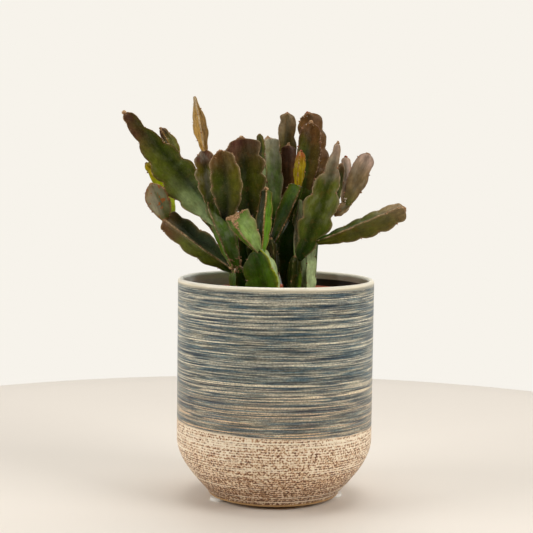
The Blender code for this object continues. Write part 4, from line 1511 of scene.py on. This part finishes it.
def skin_colours(row, place, flat, share, inset, points, seed):
    """Slow colour changes: the three tints along the segment, the flank's, which is partly
    painted light and shade, the brown margin, a painted sheen in the middle of each wing, painted
    shade along the crease where the flank starts, clouds of lighter and darker tone, and the edge
    line, partly a painted highlight, which some segments have on the right side only."""
    colour = blend_tints(row, np.clip(place + 0.10 * drift(points, 8.0, seed + 5), 0.0, 1.0))
    # The flank tint is partly the right side's own colour, partly painted light on a lit side and
    # painted shade on a shaded one.
    flank, amount = row.flank
    aside = flat[..., 0] - row.flank_from
    right = eased(aside + 0.8 * drift(points, 5.0, seed + 4), -0.4, 1.2)
    colour = over(colour, flank, right * amount * (1.0 - 0.6 * eased(place, 0.75, 1.0)))
    toward_tip = np.clip(place * 2.0, 0.1, 1.0)
    patchy = 0.75 + 0.5 * drift(points, 6.0, seed + 7)
    margin = np.exp(-((np.maximum(inset, 0.0) / 2.6) ** 2)) * 0.24 * toward_tip * patchy
    colour = over(colour, "bronze", np.clip(margin, 0.0, 1.0))
    # Painted sheen: the middle of each wing is made lighter, less so near the tip.
    painted_sheen = np.exp(-(((share - 0.58) / 0.24) ** 2)) * (1.0 - 0.5 * eased(place, 0.8, 1.0))
    colour[..., :3] *= (1.0 + 0.22 * painted_sheen)[..., None]
    if row.form != "ridge":
        # The painted crease shade is on the front only, is weaker near the tip, and on leaves
        # with low teeth.
        front = eased(flat[..., 1], -0.8, 0.6)
        lively = np.clip(1.6 * row.teeth - 0.2, 0, 1)
        fold_shade = np.exp(-((aside / (0.10 * row.width + 0.7)) ** 2)) * front
        fold_shade = fold_shade * (1.0 - 0.7 * eased(place, 0.7, 1.0)) * lively
        colour[..., :3] *= 1.0 - fold_shade[..., None] * np.array([0.60, 0.54, 0.62])
    colour[..., :3] *= (1.0 + 0.26 * drift(points, 9.0, seed + 6))[..., None]
    colour[..., :3] *= (1.0 + 0.16 * drift(points, 3.5, seed + 8))[..., None]
    # The edge line is partly the margin's own colour and partly a painted highlight along margins
    # and ridges.
    line = eased(-inset, -0.8, -0.1) * 0.66 * eased(place, 0.03, 0.15)
    line = line * eased(flat[..., 0] - row.edge_from, -1.0, 1.0)
    return over(colour, row.edge, line)


def segment_skin(row, base, seed):
    """Points, faces and surface values of one segment, as a dictionary of arrays."""
    form = FORMS[row.form]
    length = chord(row, base)
    t = stations(row, length)
    centre, run = curve_points(row, base, t)
    side, face = directions(row, run)
    phases = np.arange(len(form.wings)) / PHASE_STEPS
    round_arm = reach(row, t, 0.0, length)
    frayed = eased(t, 0.05, 0.2) * np.clip(round_arm / 4.0, 0.0, 1.0)
    arms, swell = [], []
    # Each wing reads the drift at a place of its own, so that no two of them fray alike.
    for index, ((_, share), phase) in enumerate(zip(form.wings, phases)):
        along_mm = np.stack([t * length, 0 * t + 9.0 * index, 0 * t + row.width], axis=-1)
        frays = 0.18 * drift(along_mm, 1.9, seed + 3) + 0.32 * drift(along_mm, 6.5, seed + 2)
        arm = share * reach(row, t, phase, length, scalloped_notches) + frays * frayed
        arm = np.maximum(LEAST_ARM, arm)
        arms.append(np.maximum(arm, np.minimum(NECK, round_arm)))
        swell.append(0.45 + 0.95 * leaning_tooth(row.lobes * t + phase))
    arms, swell = np.stack(arms, axis=-1), np.stack(swell, axis=-1)
    valleys = np.stack([np.minimum(valley, 0.75 * round_arm) for valley in form.valleys], axis=-1)
    flat, share, inset = section(form, arms, valleys, swell)

    points = centre[:, None] + flat[..., :1] * side[:, None] + flat[..., 1:] * face[:, None]
    soft = np.clip(t / 0.1, 0.0, 1.0)[:, None]
    for size, height, lift in ((9.0, 0.30, 0), (3.0, 0.12, 1)):
        nudge = np.stack([drift(points, size, seed + lift + axis) for axis in (50, 60, 70)],
                         axis=-1)
        points = points + nudge * (height * soft)[..., None]

    last = points[-1] - centre[-1]
    dome = 0.55 * np.linalg.norm(last, axis=-1).min() + 0.25
    caps = [centre[-1] + last * math.cos(turn) + run[-1] * dome * math.sin(turn)
            for turn in CAP_TURNS]
    points = np.concatenate([points, np.stack(caps)])
    rows, columns = points.shape[:2]
    ends = np.stack([centre[0], centre[-1] + run[-1] * dome])
    along = np.concatenate([t, np.ones(CAP_ROWS)])

    def capped(values):
        """The last station's values repeated over the cap."""
        return np.concatenate([values, np.repeat(values[-1:], CAP_ROWS, axis=0)])

    flat, share, inset = capped(flat), capped(share), capped(inset)
    place = np.broadcast_to(along[:, None], (rows, columns))
    colour = skin_colours(row, place, flat, share, inset, points, seed)
    rim = np.clip(1.0 - np.maximum(inset, 0.0) / 0.6, 0.0, 1.0)
    rim = rim * (1.0 if row.parent else ROOTED_RIM)
    cork = np.clip((place - 0.985) / 0.015, 0.0, 1.0) * 0.8
    wax = np.full((rows, columns), row.wax) * np.clip(place * 1.6, 0.2, 1.0)
    scars = np.full((rows, columns), float(row.scars))
    grow = np.stack([flat[..., 0] + seed, place * length, flat[..., 1]], axis=-1)

    def spread(values):
        """A grid of values as one list, with the values of the two end points added."""
        tail = values[[0, -1], 0]
        return np.concatenate([values.reshape(-1, *values.shape[2:]), tail])

    quads, fans = closed_tube(rows, columns)
    return {
        "points": np.concatenate([points.reshape(-1, 3), ends]), "quads": quads, "fans": fans,
        "skin": spread(colour), "rim": spread(rim), "cork": spread(cork), "wax": spread(wax),
        "scars": spread(scars), "grow": spread(grow),
    }


print("its skin:", len(segment_skin(front_row, front_base, 0)["points"]), "points")

# %% [markdown]
# ## The skin's finish
#
# The skin of such a cactus is a thin waxy film over green flesh. It is satin, not shiny, with
# fine pores, and its margins carry a hair line of red-brown. Strong light has turned the tops
# olive, bronze and purple. The mesh already stores the slow change of colour, with its painted
# sheen and shade, so the material only adds what is finer: mottling, tiny pale flecks, the broken
# rim line with its pale dots, partly a painted highlight, the waxy haze, partly a painted sheen,
# and the pores.

# %% Plant skin


def skin_material(name, dry_colour):
    """Stored colour, mottled, streaked along the growth and flecked, then the waxy haze, partly a
    painted sheen, scars, the dotted rim, partly a painted highlight, and cork behind their masks.
    The creases and pores are heights."""
    material, tree, shader, place = new_material(name)
    grow = attribute(tree, "grow", "Vector")
    colour = mottled(tree, attribute(tree, "skin", "Color"), place, 360.0, 0.26)
    streaks = stretched_noise(tree, grow, (0.75, 0.24, 0.75), 4.0, 0.65)
    colour = brightened(tree, colour, between(tree, streaks, 0.30, 0.70, 0.82, 1.20))
    flecks = between(tree, noise(tree, place, 1300.0, 1.0), 0.60, 0.72)
    colour = mixed(tree, times(tree, flecks, 0.16), colour, screen(150, 140, 96))
    # The waxy haze: pale grey streaky clouds, partly real and partly a painted sheen.
    bloom_and_sheen = stretched_noise(tree, grow, (0.22, 0.10, 0.22), 4.0, 0.6)
    bloom_and_sheen = times(tree, between(tree, bloom_and_sheen, 0.42, 0.72), attribute(tree, "wax"))
    colour = mixed(tree, times(tree, bloom_and_sheen, 0.8), colour, screen(168, 165, 146))
    scars = noise(tree, place, 210.0, 4.0, 0.7)
    dry = times(tree, between(tree, scars, 0.56, 0.62), attribute(tree, "scars"))
    colour = mixed(tree, dry, colour, dry_colour)
    broken = between(tree, noise(tree, place, 420.0, 2.0), 0.40, 0.60)
    rim = times(tree, attribute(tree, "rim"), times(tree, broken, 0.45))
    colour = mixed(tree, rim, colour, screen(92, 54, 34))
    # Pale dots on the rim: partly specks of the margin, partly a painted highlight where light
    # catches the edge.
    dots = between(tree, noise(tree, place, 620.0, 2.0), 0.52, 0.60)
    dots = times(tree, attribute(tree, "rim"), times(tree, dots, 0.55))
    colour = mixed(tree, dots, colour, screen(226, 190, 150))
    colour = mixed(tree, attribute(tree, "cork"), colour, screen(150, 112, 78))
    dull = between(tree, noise(tree, place, 210.0, 3.0), 0.3, 0.7, 0.28, 0.46)
    dull = sum_up(tree, "MULTIPLY_ADD", bloom_and_sheen, 0.15, dull)
    dull = sum_up(tree, "MULTIPLY_ADD", dry, 0.3, dull)
    fill(tree, shader, {"Base Color": colour, "Roughness": dull, "Specular IOR Level": 0.11})
    creases = stretched_noise(tree, grow, (0.35, 1.3, 0.35))
    soft = noise(tree, place, 260.0, 2.0)
    height = sum_up(tree, "MULTIPLY_ADD", creases, 0.00011, times(tree, soft, 0.00034))
    height = sum_up(tree, "MULTIPLY_ADD", streaks, 0.00016, height)
    height = sum_up(tree, "MULTIPLY_ADD", dry, 0.00012, height)
    grained(tree, shader, place, 1500.0, 0.00007, height)
    return material


GREEN_SKIN = skin_material("green_skin", screen(146, 112, 74))
BRONZE_SKIN = skin_material("bronze_skin", screen(158, 92, 46))
GREEN_STEMS = {"stem_long_left", "stem_front", "stem_slant", "stem_side_left", "stem_back_middle"}
print("skins:", GREEN_SKIN.name, BRONZE_SKIN.name)

# %% [markdown]
# ## Stems from segments
#
# The segments of a rooted stem go into one mesh, each starting inside its parent, as the solid
# model joins them. A short woody foot leads down into the soil.

# %% Feet and whole stems
FOOT_RADIUS = 2.9


def woody_foot(row, seed, columns=16):
    """A rough cork-brown peg from inside the first segment down into the soil."""
    height = SOIL_TOP + np.concatenate([[6.2], np.linspace(5.6, -12.0, 16)])
    radius = np.concatenate([[1.2], np.full(15, FOOT_RADIUS), [1.6]])
    radius = radius + 0.25 * np.sin(height * 1.7)
    points = turned_points(np.stack([radius, height], axis=-1), columns)
    points[..., :2] *= (1.0 + 0.12 * drift(points + seed, 1.6, seed))[..., None]
    points[..., :2] += row.foot
    ends = np.array([[*row.foot, height[0] + 0.2], [*row.foot, height[-1] - 0.2]])
    flat = np.concatenate([points.reshape(-1, 3), ends])
    count = len(flat)
    brown = np.array(TINTS["umber"]) * (0.7, 0.7, 0.7, 1.0)
    quads, fans = closed_tube(len(height), columns)
    return {
        "points": flat, "quads": quads, "fans": fans,
        "skin": np.tile(brown, (count, 1)), "rim": np.zeros(count),
        "cork": np.full(count, 0.25), "wax": np.zeros(count), "scars": np.full(count, 0.5),
        "grow": flat,
    }


def leafy_stem(name, rows, seed):
    """All parts of a stem in one mesh, which stands for the solid of the same name."""
    bases = segment_bases(rows)
    parts = [woody_foot(rows[0], seed)]
    parts += [segment_skin(row, bases[row.name], seed + 10 * index)
              for index, row in enumerate(rows)]
    firsts = np.cumsum([0] + [len(part["points"]) for part in parts[:-1]])
    gathered = {
        label: np.concatenate([part[label] for part in parts])
        for label in ("points", "skin", "rim", "cork", "wax", "scars", "grow")
    }
    points = gathered.pop("points")
    quads = np.concatenate([part["quads"] + first for part, first in zip(parts, firsts)])
    fans = np.concatenate([part["fans"] + first for part, first in zip(parts, firsts)])
    green = name in GREEN_STEMS
    piece = new_piece(name + "_skin", points, quads, fans, GREEN_SKIN if green else BRONZE_SKIN,
                      **gathered)
    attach(piece, "root")
    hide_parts(name)


for stem_index, (stem_name, rows) in enumerate(STEMS.items()):
    leafy_stem(stem_name, rows, 100 + 37 * stem_index)

# %% [markdown]
# ## Areoles, cork and buds
#
# In the notch above each tooth sits an areole, a small pad of tan wool from which flowers and
# new segments come. Old tips end in a rough knob of cork, and a few carry a dry orange bud.
# They are all copies of the same rough pebble, sized and placed from the segments' own numbers.

# %% Wool, cork and buds


def knob_material(name, colour, other):
    """Dry plant matter: two browns in patches and a rough grain."""
    material, tree, shader, place = new_material(name)
    patch = between(tree, noise(tree, place, 900.0, 3.0), 0.35, 0.65)
    mix = mottled(tree, mixed(tree, patch, colour, other), place, 2500.0, 0.25)
    fill(tree, shader, {"Base Color": mix, "Roughness": 0.85})
    grained(tree, shader, place, 2600.0, 0.00015)
    return material


def areole_places(row, base):
    """Edge points of every full wing at its notches, where lobes times t plus phase is whole,
    and the direction that each looks in: three columns for the point, three for the direction."""
    length = chord(row, base)
    places = []
    for index, (degrees, share) in enumerate(FORMS[row.form].wings):
        if share < 0.5:
            continue
        phase = index / PHASE_STEPS
        t = (np.arange(1, row.lobes + 1) - phase) / row.lobes
        t = t[(t > 0.14) & (t < 0.97)]
        centre, run = curve_points(row, base, t)
        out = wing_direction(degrees, *directions(row, run))
        arm = np.maximum(LEAST_ARM, share * reach(row, t, phase, length, scalloped_notches))
        places.append(np.concatenate([centre + (arm[:, None] - 0.1) * out, out], axis=-1))
    return np.concatenate(places)


AREOLE_WOOL = knob_material("areole_wool", screen(176, 128, 86), screen(118, 76, 48))
CORK = knob_material("cork", screen(196, 158, 114), screen(146, 104, 70))
BUD_SKIN = knob_material("dry_bud", screen(172, 84, 40), screen(120, 62, 36))

all_areoles = []
for rows in STEMS.values():
    bases = segment_bases(rows)
    all_areoles += [areole_places(row, bases[row.name]) for row in rows]
areole_rows = np.concatenate(all_areoles)
areole_centres, areole_outward = areole_rows[:, :3], areole_rows[:, 3:]
random = np.random.default_rng(77)
areole_count = len(areole_centres)
areole_sizes = random.uniform(0.42, 0.75, (areole_count, 1))
areole_sizes = areole_sizes * random.uniform(0.8, 1.2, (areole_count, 3))
areoles = pebbles("areoles", pebble_shape(3, 6), areole_centres, areole_sizes, random, 0.25, 78,
                  AREOLE_WOOL)
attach(areoles, "root")
print("areoles:", areole_count)

# %% Knobs on the tips
CORK_TIPS = [
    ("stem_long_left", "long", 1.5), ("stem_long_left", "behind", 0.9),
    ("stem_long_left", "front", 1.1), ("stem_low_left", "withered", 1.0),
    ("stem_centre", "broad", 1.3), ("stem_centre_grey", "waxy", 1.1),
    ("stem_front", "rear", 1.5), ("stem_upright", "brown", 1.5),
    ("stem_right", "leafy", 1.1), ("stem_right", "reaching", 1.2),
    ("stem_right", "bridge", 1.2), ("stem_tall", "dark", 1.1),
    ("stem_back_left", "upper", 1.2), ("stem_back_middle", "upper", 1.2),
    ("stem_back_right", "upper", 1.2), ("stem_inner", "upper", 1.0),
    ("stem_side_left", "upper", 1.1), ("stem_side_right", "upper", 1.1),
]
BUD_TIPS = [
    ("stem_tall", "top", 0.9), ("stem_tall_right", "top", 1.1),
    ("stem_right", "small_rear", 1.0), ("stem_slant", "yellow", 0.9),
    ("stem_back_middle", "young", 0.9),
]


def tip_knobs(name, tips, material, seed):
    """Clusters of three rough pebbles on each named tip, the largest in the middle."""
    random = np.random.default_rng(seed)
    centres, sizes = [], []
    for stem, segment_name, size in tips:
        row, base = find_segment(stem, segment_name)
        tip, run = curve_points(row, base, 1.0)
        for scale in (1.0, 0.62, 0.5):
            aside = random.normal(0.0, 0.55 * size, 3) * (1.0 - scale) * 2.0
            centres.append(tip + run * size * 0.35 + aside)
            sizes.append(np.full(3, size * scale) * random.uniform(0.8, 1.15, 3))
    knobs = pebbles(name, pebble_shape(6, 9), np.array(centres), np.array(sizes), random, 0.32,
                    seed, material)
    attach(knobs, "root")


tip_knobs("cork_tips", CORK_TIPS, CORK, 91)
tip_knobs("dry_buds", BUD_TIPS, BUD_SKIN, 92)

# %% [markdown]
# A few places look rougher: an old cut that has healed over with corky callus, dead bits of
# skin where branches meet, and pale wool on young tips. Each of them is a scatter of the small
# pebble over the wings of one segment, between two places along it. The fine bristles in the
# areoles are thin three-sided spikes, one shape copied and turned outwards.

# %% Rough and woolly places

# Each row: stem, segment, from where to where along it, on which wings, from what share to what
# share of the way out to the margin, how many pebbles, and their size in millimetres.
CALLUS = [
    ("stem_front", "cut", (0.965, 1.0), (0, 1, 2), (0.0, 1.0), 130, 1.0),
    ("stem_front", "cut", (0.84, 1.0), (0,), (0.6, 1.0), 50, 0.8),
    ("stem_front", "cut", (0.40, 0.95), (1,), (0.93, 1.0), 26, 0.4),
    ("stem_front", "cut", (0.30, 0.95), (0,), (0.96, 1.02), 22, 0.35),
    ("stem_long_left", "base", (0.86, 1.0), (0, 2), (0.2, 1.1), 50, 1.0),
    ("stem_long_left", "fork", (0.03, 0.22), (0, 1, 2), (0.4, 1.1), 80, 1.1),
    ("stem_long_left", "front", (0.90, 0.99), (0, 1), (0.55, 1.0), 16, 0.5),
    ("stem_right", "bridge", (0.20, 0.95), (0, 1), (0.2, 1.0), 24, 0.55),
    ("stem_right", "reaching", (0.55, 0.98), (0,), (0.95, 1.02), 26, 0.4),
    ("stem_right", "outer", (0.02, 0.10), (0, 1), (0.3, 1.0), 12, 0.6),
    ("stem_low_left", "withered", (0.30, 0.95), (0, 1), (0.90, 1.0), 26, 0.4),
]
PALE_WOOL = [
    ("stem_long_left", "base", (0.88, 1.0), (0, 2), (0.5, 1.2), 26, 0.9),
    ("stem_centre_grey", "waxy", (0.965, 1.0), (0, 2), (0.1, 1.0), 26, 0.45),
    ("stem_slant", "slanting", (0.965, 1.0), (0, 1, 2), (0.1, 0.9), 24, 0.45),
    ("stem_right", "leafy", (0.985, 1.0), (0, 1), (0.0, 0.8), 8, 0.45),
    ("stem_right", "bridge", (0.45, 0.95), (0, 1), (0.4, 1.0), 16, 0.8),
    ("stem_right", "outer", (0.0, 0.14), (0, 1), (0.2, 1.0), 24, 0.8),
    ("stem_right", "small_rear", (0.80, 0.98), (0, 1), (0.5, 1.0), 9, 0.35),
    ("stem_tall_right", "top", (0.95, 0.995), (0, 1), (0.2, 1.0), 12, 0.4),
    ("stem_tall", "top", (0.97, 0.995), (0, 1), (0.2, 1.0), 8, 0.35),
    ("stem_upright", "brown", (0.96, 0.995), (0, 1), (0.2, 0.9), 10, 0.4),
    ("stem_long_left", "long", (0.975, 0.995), (0, 1), (0.0, 0.9), 10, 0.45),
]
print(len(CALLUS), "rough places and", len(PALE_WOOL), "woolly ones")

# %% Callus, dry bits and wool


def on_wings(row, base, t, wing, share, sides):
    """Points on the skin: the middle line, plus a share of the way to a wing's edge, plus or
    minus half the wing's thickness there, which grows from its edge to the middle."""
    degrees, size = np.array(FORMS[row.form].wings)[wing].T
    angle = np.radians(degrees)
    centre, run = curve_points(row, base, t)
    side, face = directions(row, run)
    out = np.cos(angle)[:, None] * side + np.sin(angle)[:, None] * face
    across = np.cos(angle)[:, None] * face - np.sin(angle)[:, None] * side
    arm = size * reach(row, t, wing / PHASE_STEPS, chord(row, base), scalloped_notches)
    lift = sides * (0.3 + 0.3 * np.minimum(arm, 7.0) * np.clip(1.0 - share, 0.0, 1.0))
    return centre + (share * arm)[:, None] * out + lift[:, None] * across


def rough_patches(name, patches, material, seed):
    """Small rough pebbles scattered over the named stretches of wing, as one mesh."""
    random = np.random.default_rng(seed)
    centres, sizes = [], []
    for stem, segment_name, along, wings, shares, count, size in patches:
        row, base = find_segment(stem, segment_name)
        t = random.uniform(*along, count)
        points = on_wings(row, base, t, random.choice(wings, count),
                          random.uniform(*shares, count), random.choice([-1.0, 1.0], count))
        centres.append(points + random.normal(0.0, 0.30 * size, (count, 3)))
        sizes.append(size * random.uniform(0.35, 1.0, (count, 1))
                     * random.uniform(0.6, 1.3, (count, 3)))
    centres, sizes = np.concatenate(centres), np.concatenate(sizes)
    patch = pebbles(name, pebble_shape(4, 6), centres, sizes, random, 0.38, seed, material)
    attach(patch, "root")


CREAM_WOOL = knob_material("cream_wool", screen(228, 214, 190), screen(180, 150, 118))
rough_patches("callus", CALLUS, CORK, 95)
rough_patches("pale_wool", PALE_WOOL, CREAM_WOOL, 96)

# %% Bristles
BRISTLES_EACH = 4


def spike_shape():
    """A thin spike one unit long: a ring of three points, a thinner one, and the tip."""
    turn = np.arange(3) * (2.0 * math.pi / 3.0)
    ring = np.stack([np.cos(turn), np.sin(turn), 0 * turn], axis=-1)
    points = np.concatenate([ring, ring * (0.6, 0.6, 0.0) + (0, 0, 0.55),
                             [[0, 0, -0.2], [0, 0, 1.0]]])
    quads, fans = closed_tube(2, 3)
    return points, quads[:, ::-1], fans[:, ::-1]


def outward_turns(direction):
    """Rotation matrices whose third column is the direction: the first is square to it."""
    direction = direction / np.linalg.norm(direction, axis=-1, keepdims=True)
    helper = np.where(np.abs(direction[:, 2:]) < 0.9, [[0.0, 0.0, 1.0]], [[1.0, 0.0, 0.0]])
    first = np.cross(helper, direction)
    first /= np.linalg.norm(first, axis=-1, keepdims=True)
    return np.stack([first, np.cross(direction, first), direction], axis=-1)


random = np.random.default_rng(79)
bristle_roots = np.repeat(areole_centres, BRISTLES_EACH, axis=0)
bristle_ways = np.repeat(areole_outward, BRISTLES_EACH, axis=0)
bristle_ways = bristle_ways + random.normal(0.0, 0.45, bristle_ways.shape)
bristle_thickness = random.uniform(0.05, 0.08, len(bristle_roots))
bristle_lengths = random.uniform(0.8, 2.1, len(bristle_roots))
bristle_sizes = np.stack([bristle_thickness, bristle_thickness, bristle_lengths], axis=-1)
bristle_spikes = copies(spike_shape(), bristle_roots, bristle_sizes, outward_turns(bristle_ways),
                        0.0, 80)
bristles = new_piece("bristles", *bristle_spikes, CREAM_WOOL)
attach(bristles, "root")
print("bristles:", len(bristle_roots))

# %% [markdown]
# ## Floor and light
#
# The object stands on a plain pale disc in a bright room. Big soft lamps at both sides and
# above give the glaze its pale edges and the leaves their satin sheen. The room itself lights
# the shadows only a little, so the middle of the plant stays dark and deep.

# %% Stage


def floor_material():
    """Warm off-white paint with hardly any gloss."""
    material, tree, shader, place = new_material("floor_paint")
    colour = mottled(tree, screen(232, 224, 214), place, 6.0, 0.015)
    fill(tree, shader, {"Base Color": colour, "Roughness": 0.55})
    return material


floor_profile = np.concatenate([
    straight((5.0, 0.0), (497.0, 0.0), 14),
    np.array([(499.0, -0.6), (500.0, -2.5), (500.0, -20.0)]),
])
floor = turned_piece("floor", floor_profile, 160, floor_material())

# %% Lamps and surroundings
LAMP_TARGET = (0.0, 0.0, 150.0)


def soft_lamp(name, place, size, power, colour):
    """A square area lamp that looks at the plant. Its place is in metres from the pot's axis."""
    lamp = bpy.data.lights.new(name, "AREA")
    lamp.size = size
    lamp.energy = power
    lamp.color = colour
    made = bpy.data.objects.new(name, lamp)
    start = Vector(place) + Vector(AXIS)
    aim = Vector(placed(LAMP_TARGET)) - start
    turned = aim.to_track_quat("-Z", "Y").to_matrix().to_4x4()
    made.matrix_world = Matrix.Translation(start) @ turned
    bpy.context.scene.collection.objects.link(made)


soft_lamp("lamp_left", (-1.35, -0.45, 0.75), 0.9, 13.0, (1.0, 0.99, 0.97))
soft_lamp("lamp_right", (1.25, -0.75, 0.95), 0.9, 16.0, (1.0, 0.985, 0.96))
soft_lamp("lamp_above", (0.1, 0.25, 1.5), 1.1, 11.0, (1.0, 0.99, 0.97))

world = bpy.data.worlds.new("room")
world.use_nodes = True
room = world.node_tree
background = room.nodes["Background"]
direction = add_node(room, "ShaderNodeTexCoord").outputs["Generated"]
behind = add_node(room, "ShaderNodeSeparateXYZ", {0: direction}).outputs[1]
wall_light = between(room, behind, -0.35, 0.80, 0.07, 0.75)
seen = add_node(room, "ShaderNodeLightPath").outputs["Is Camera Ray"]
strength = add_node(room, "ShaderNodeMix", {0: seen, 2: wall_light, 3: 1.0}).outputs[0]
fill(room, background, {"Color": screen(247, 243, 235), "Strength": strength})
bpy.context.scene.world = world
bpy.context.scene.view_settings.view_transform = "Standard"
print("lamps:", len(bpy.data.lights))
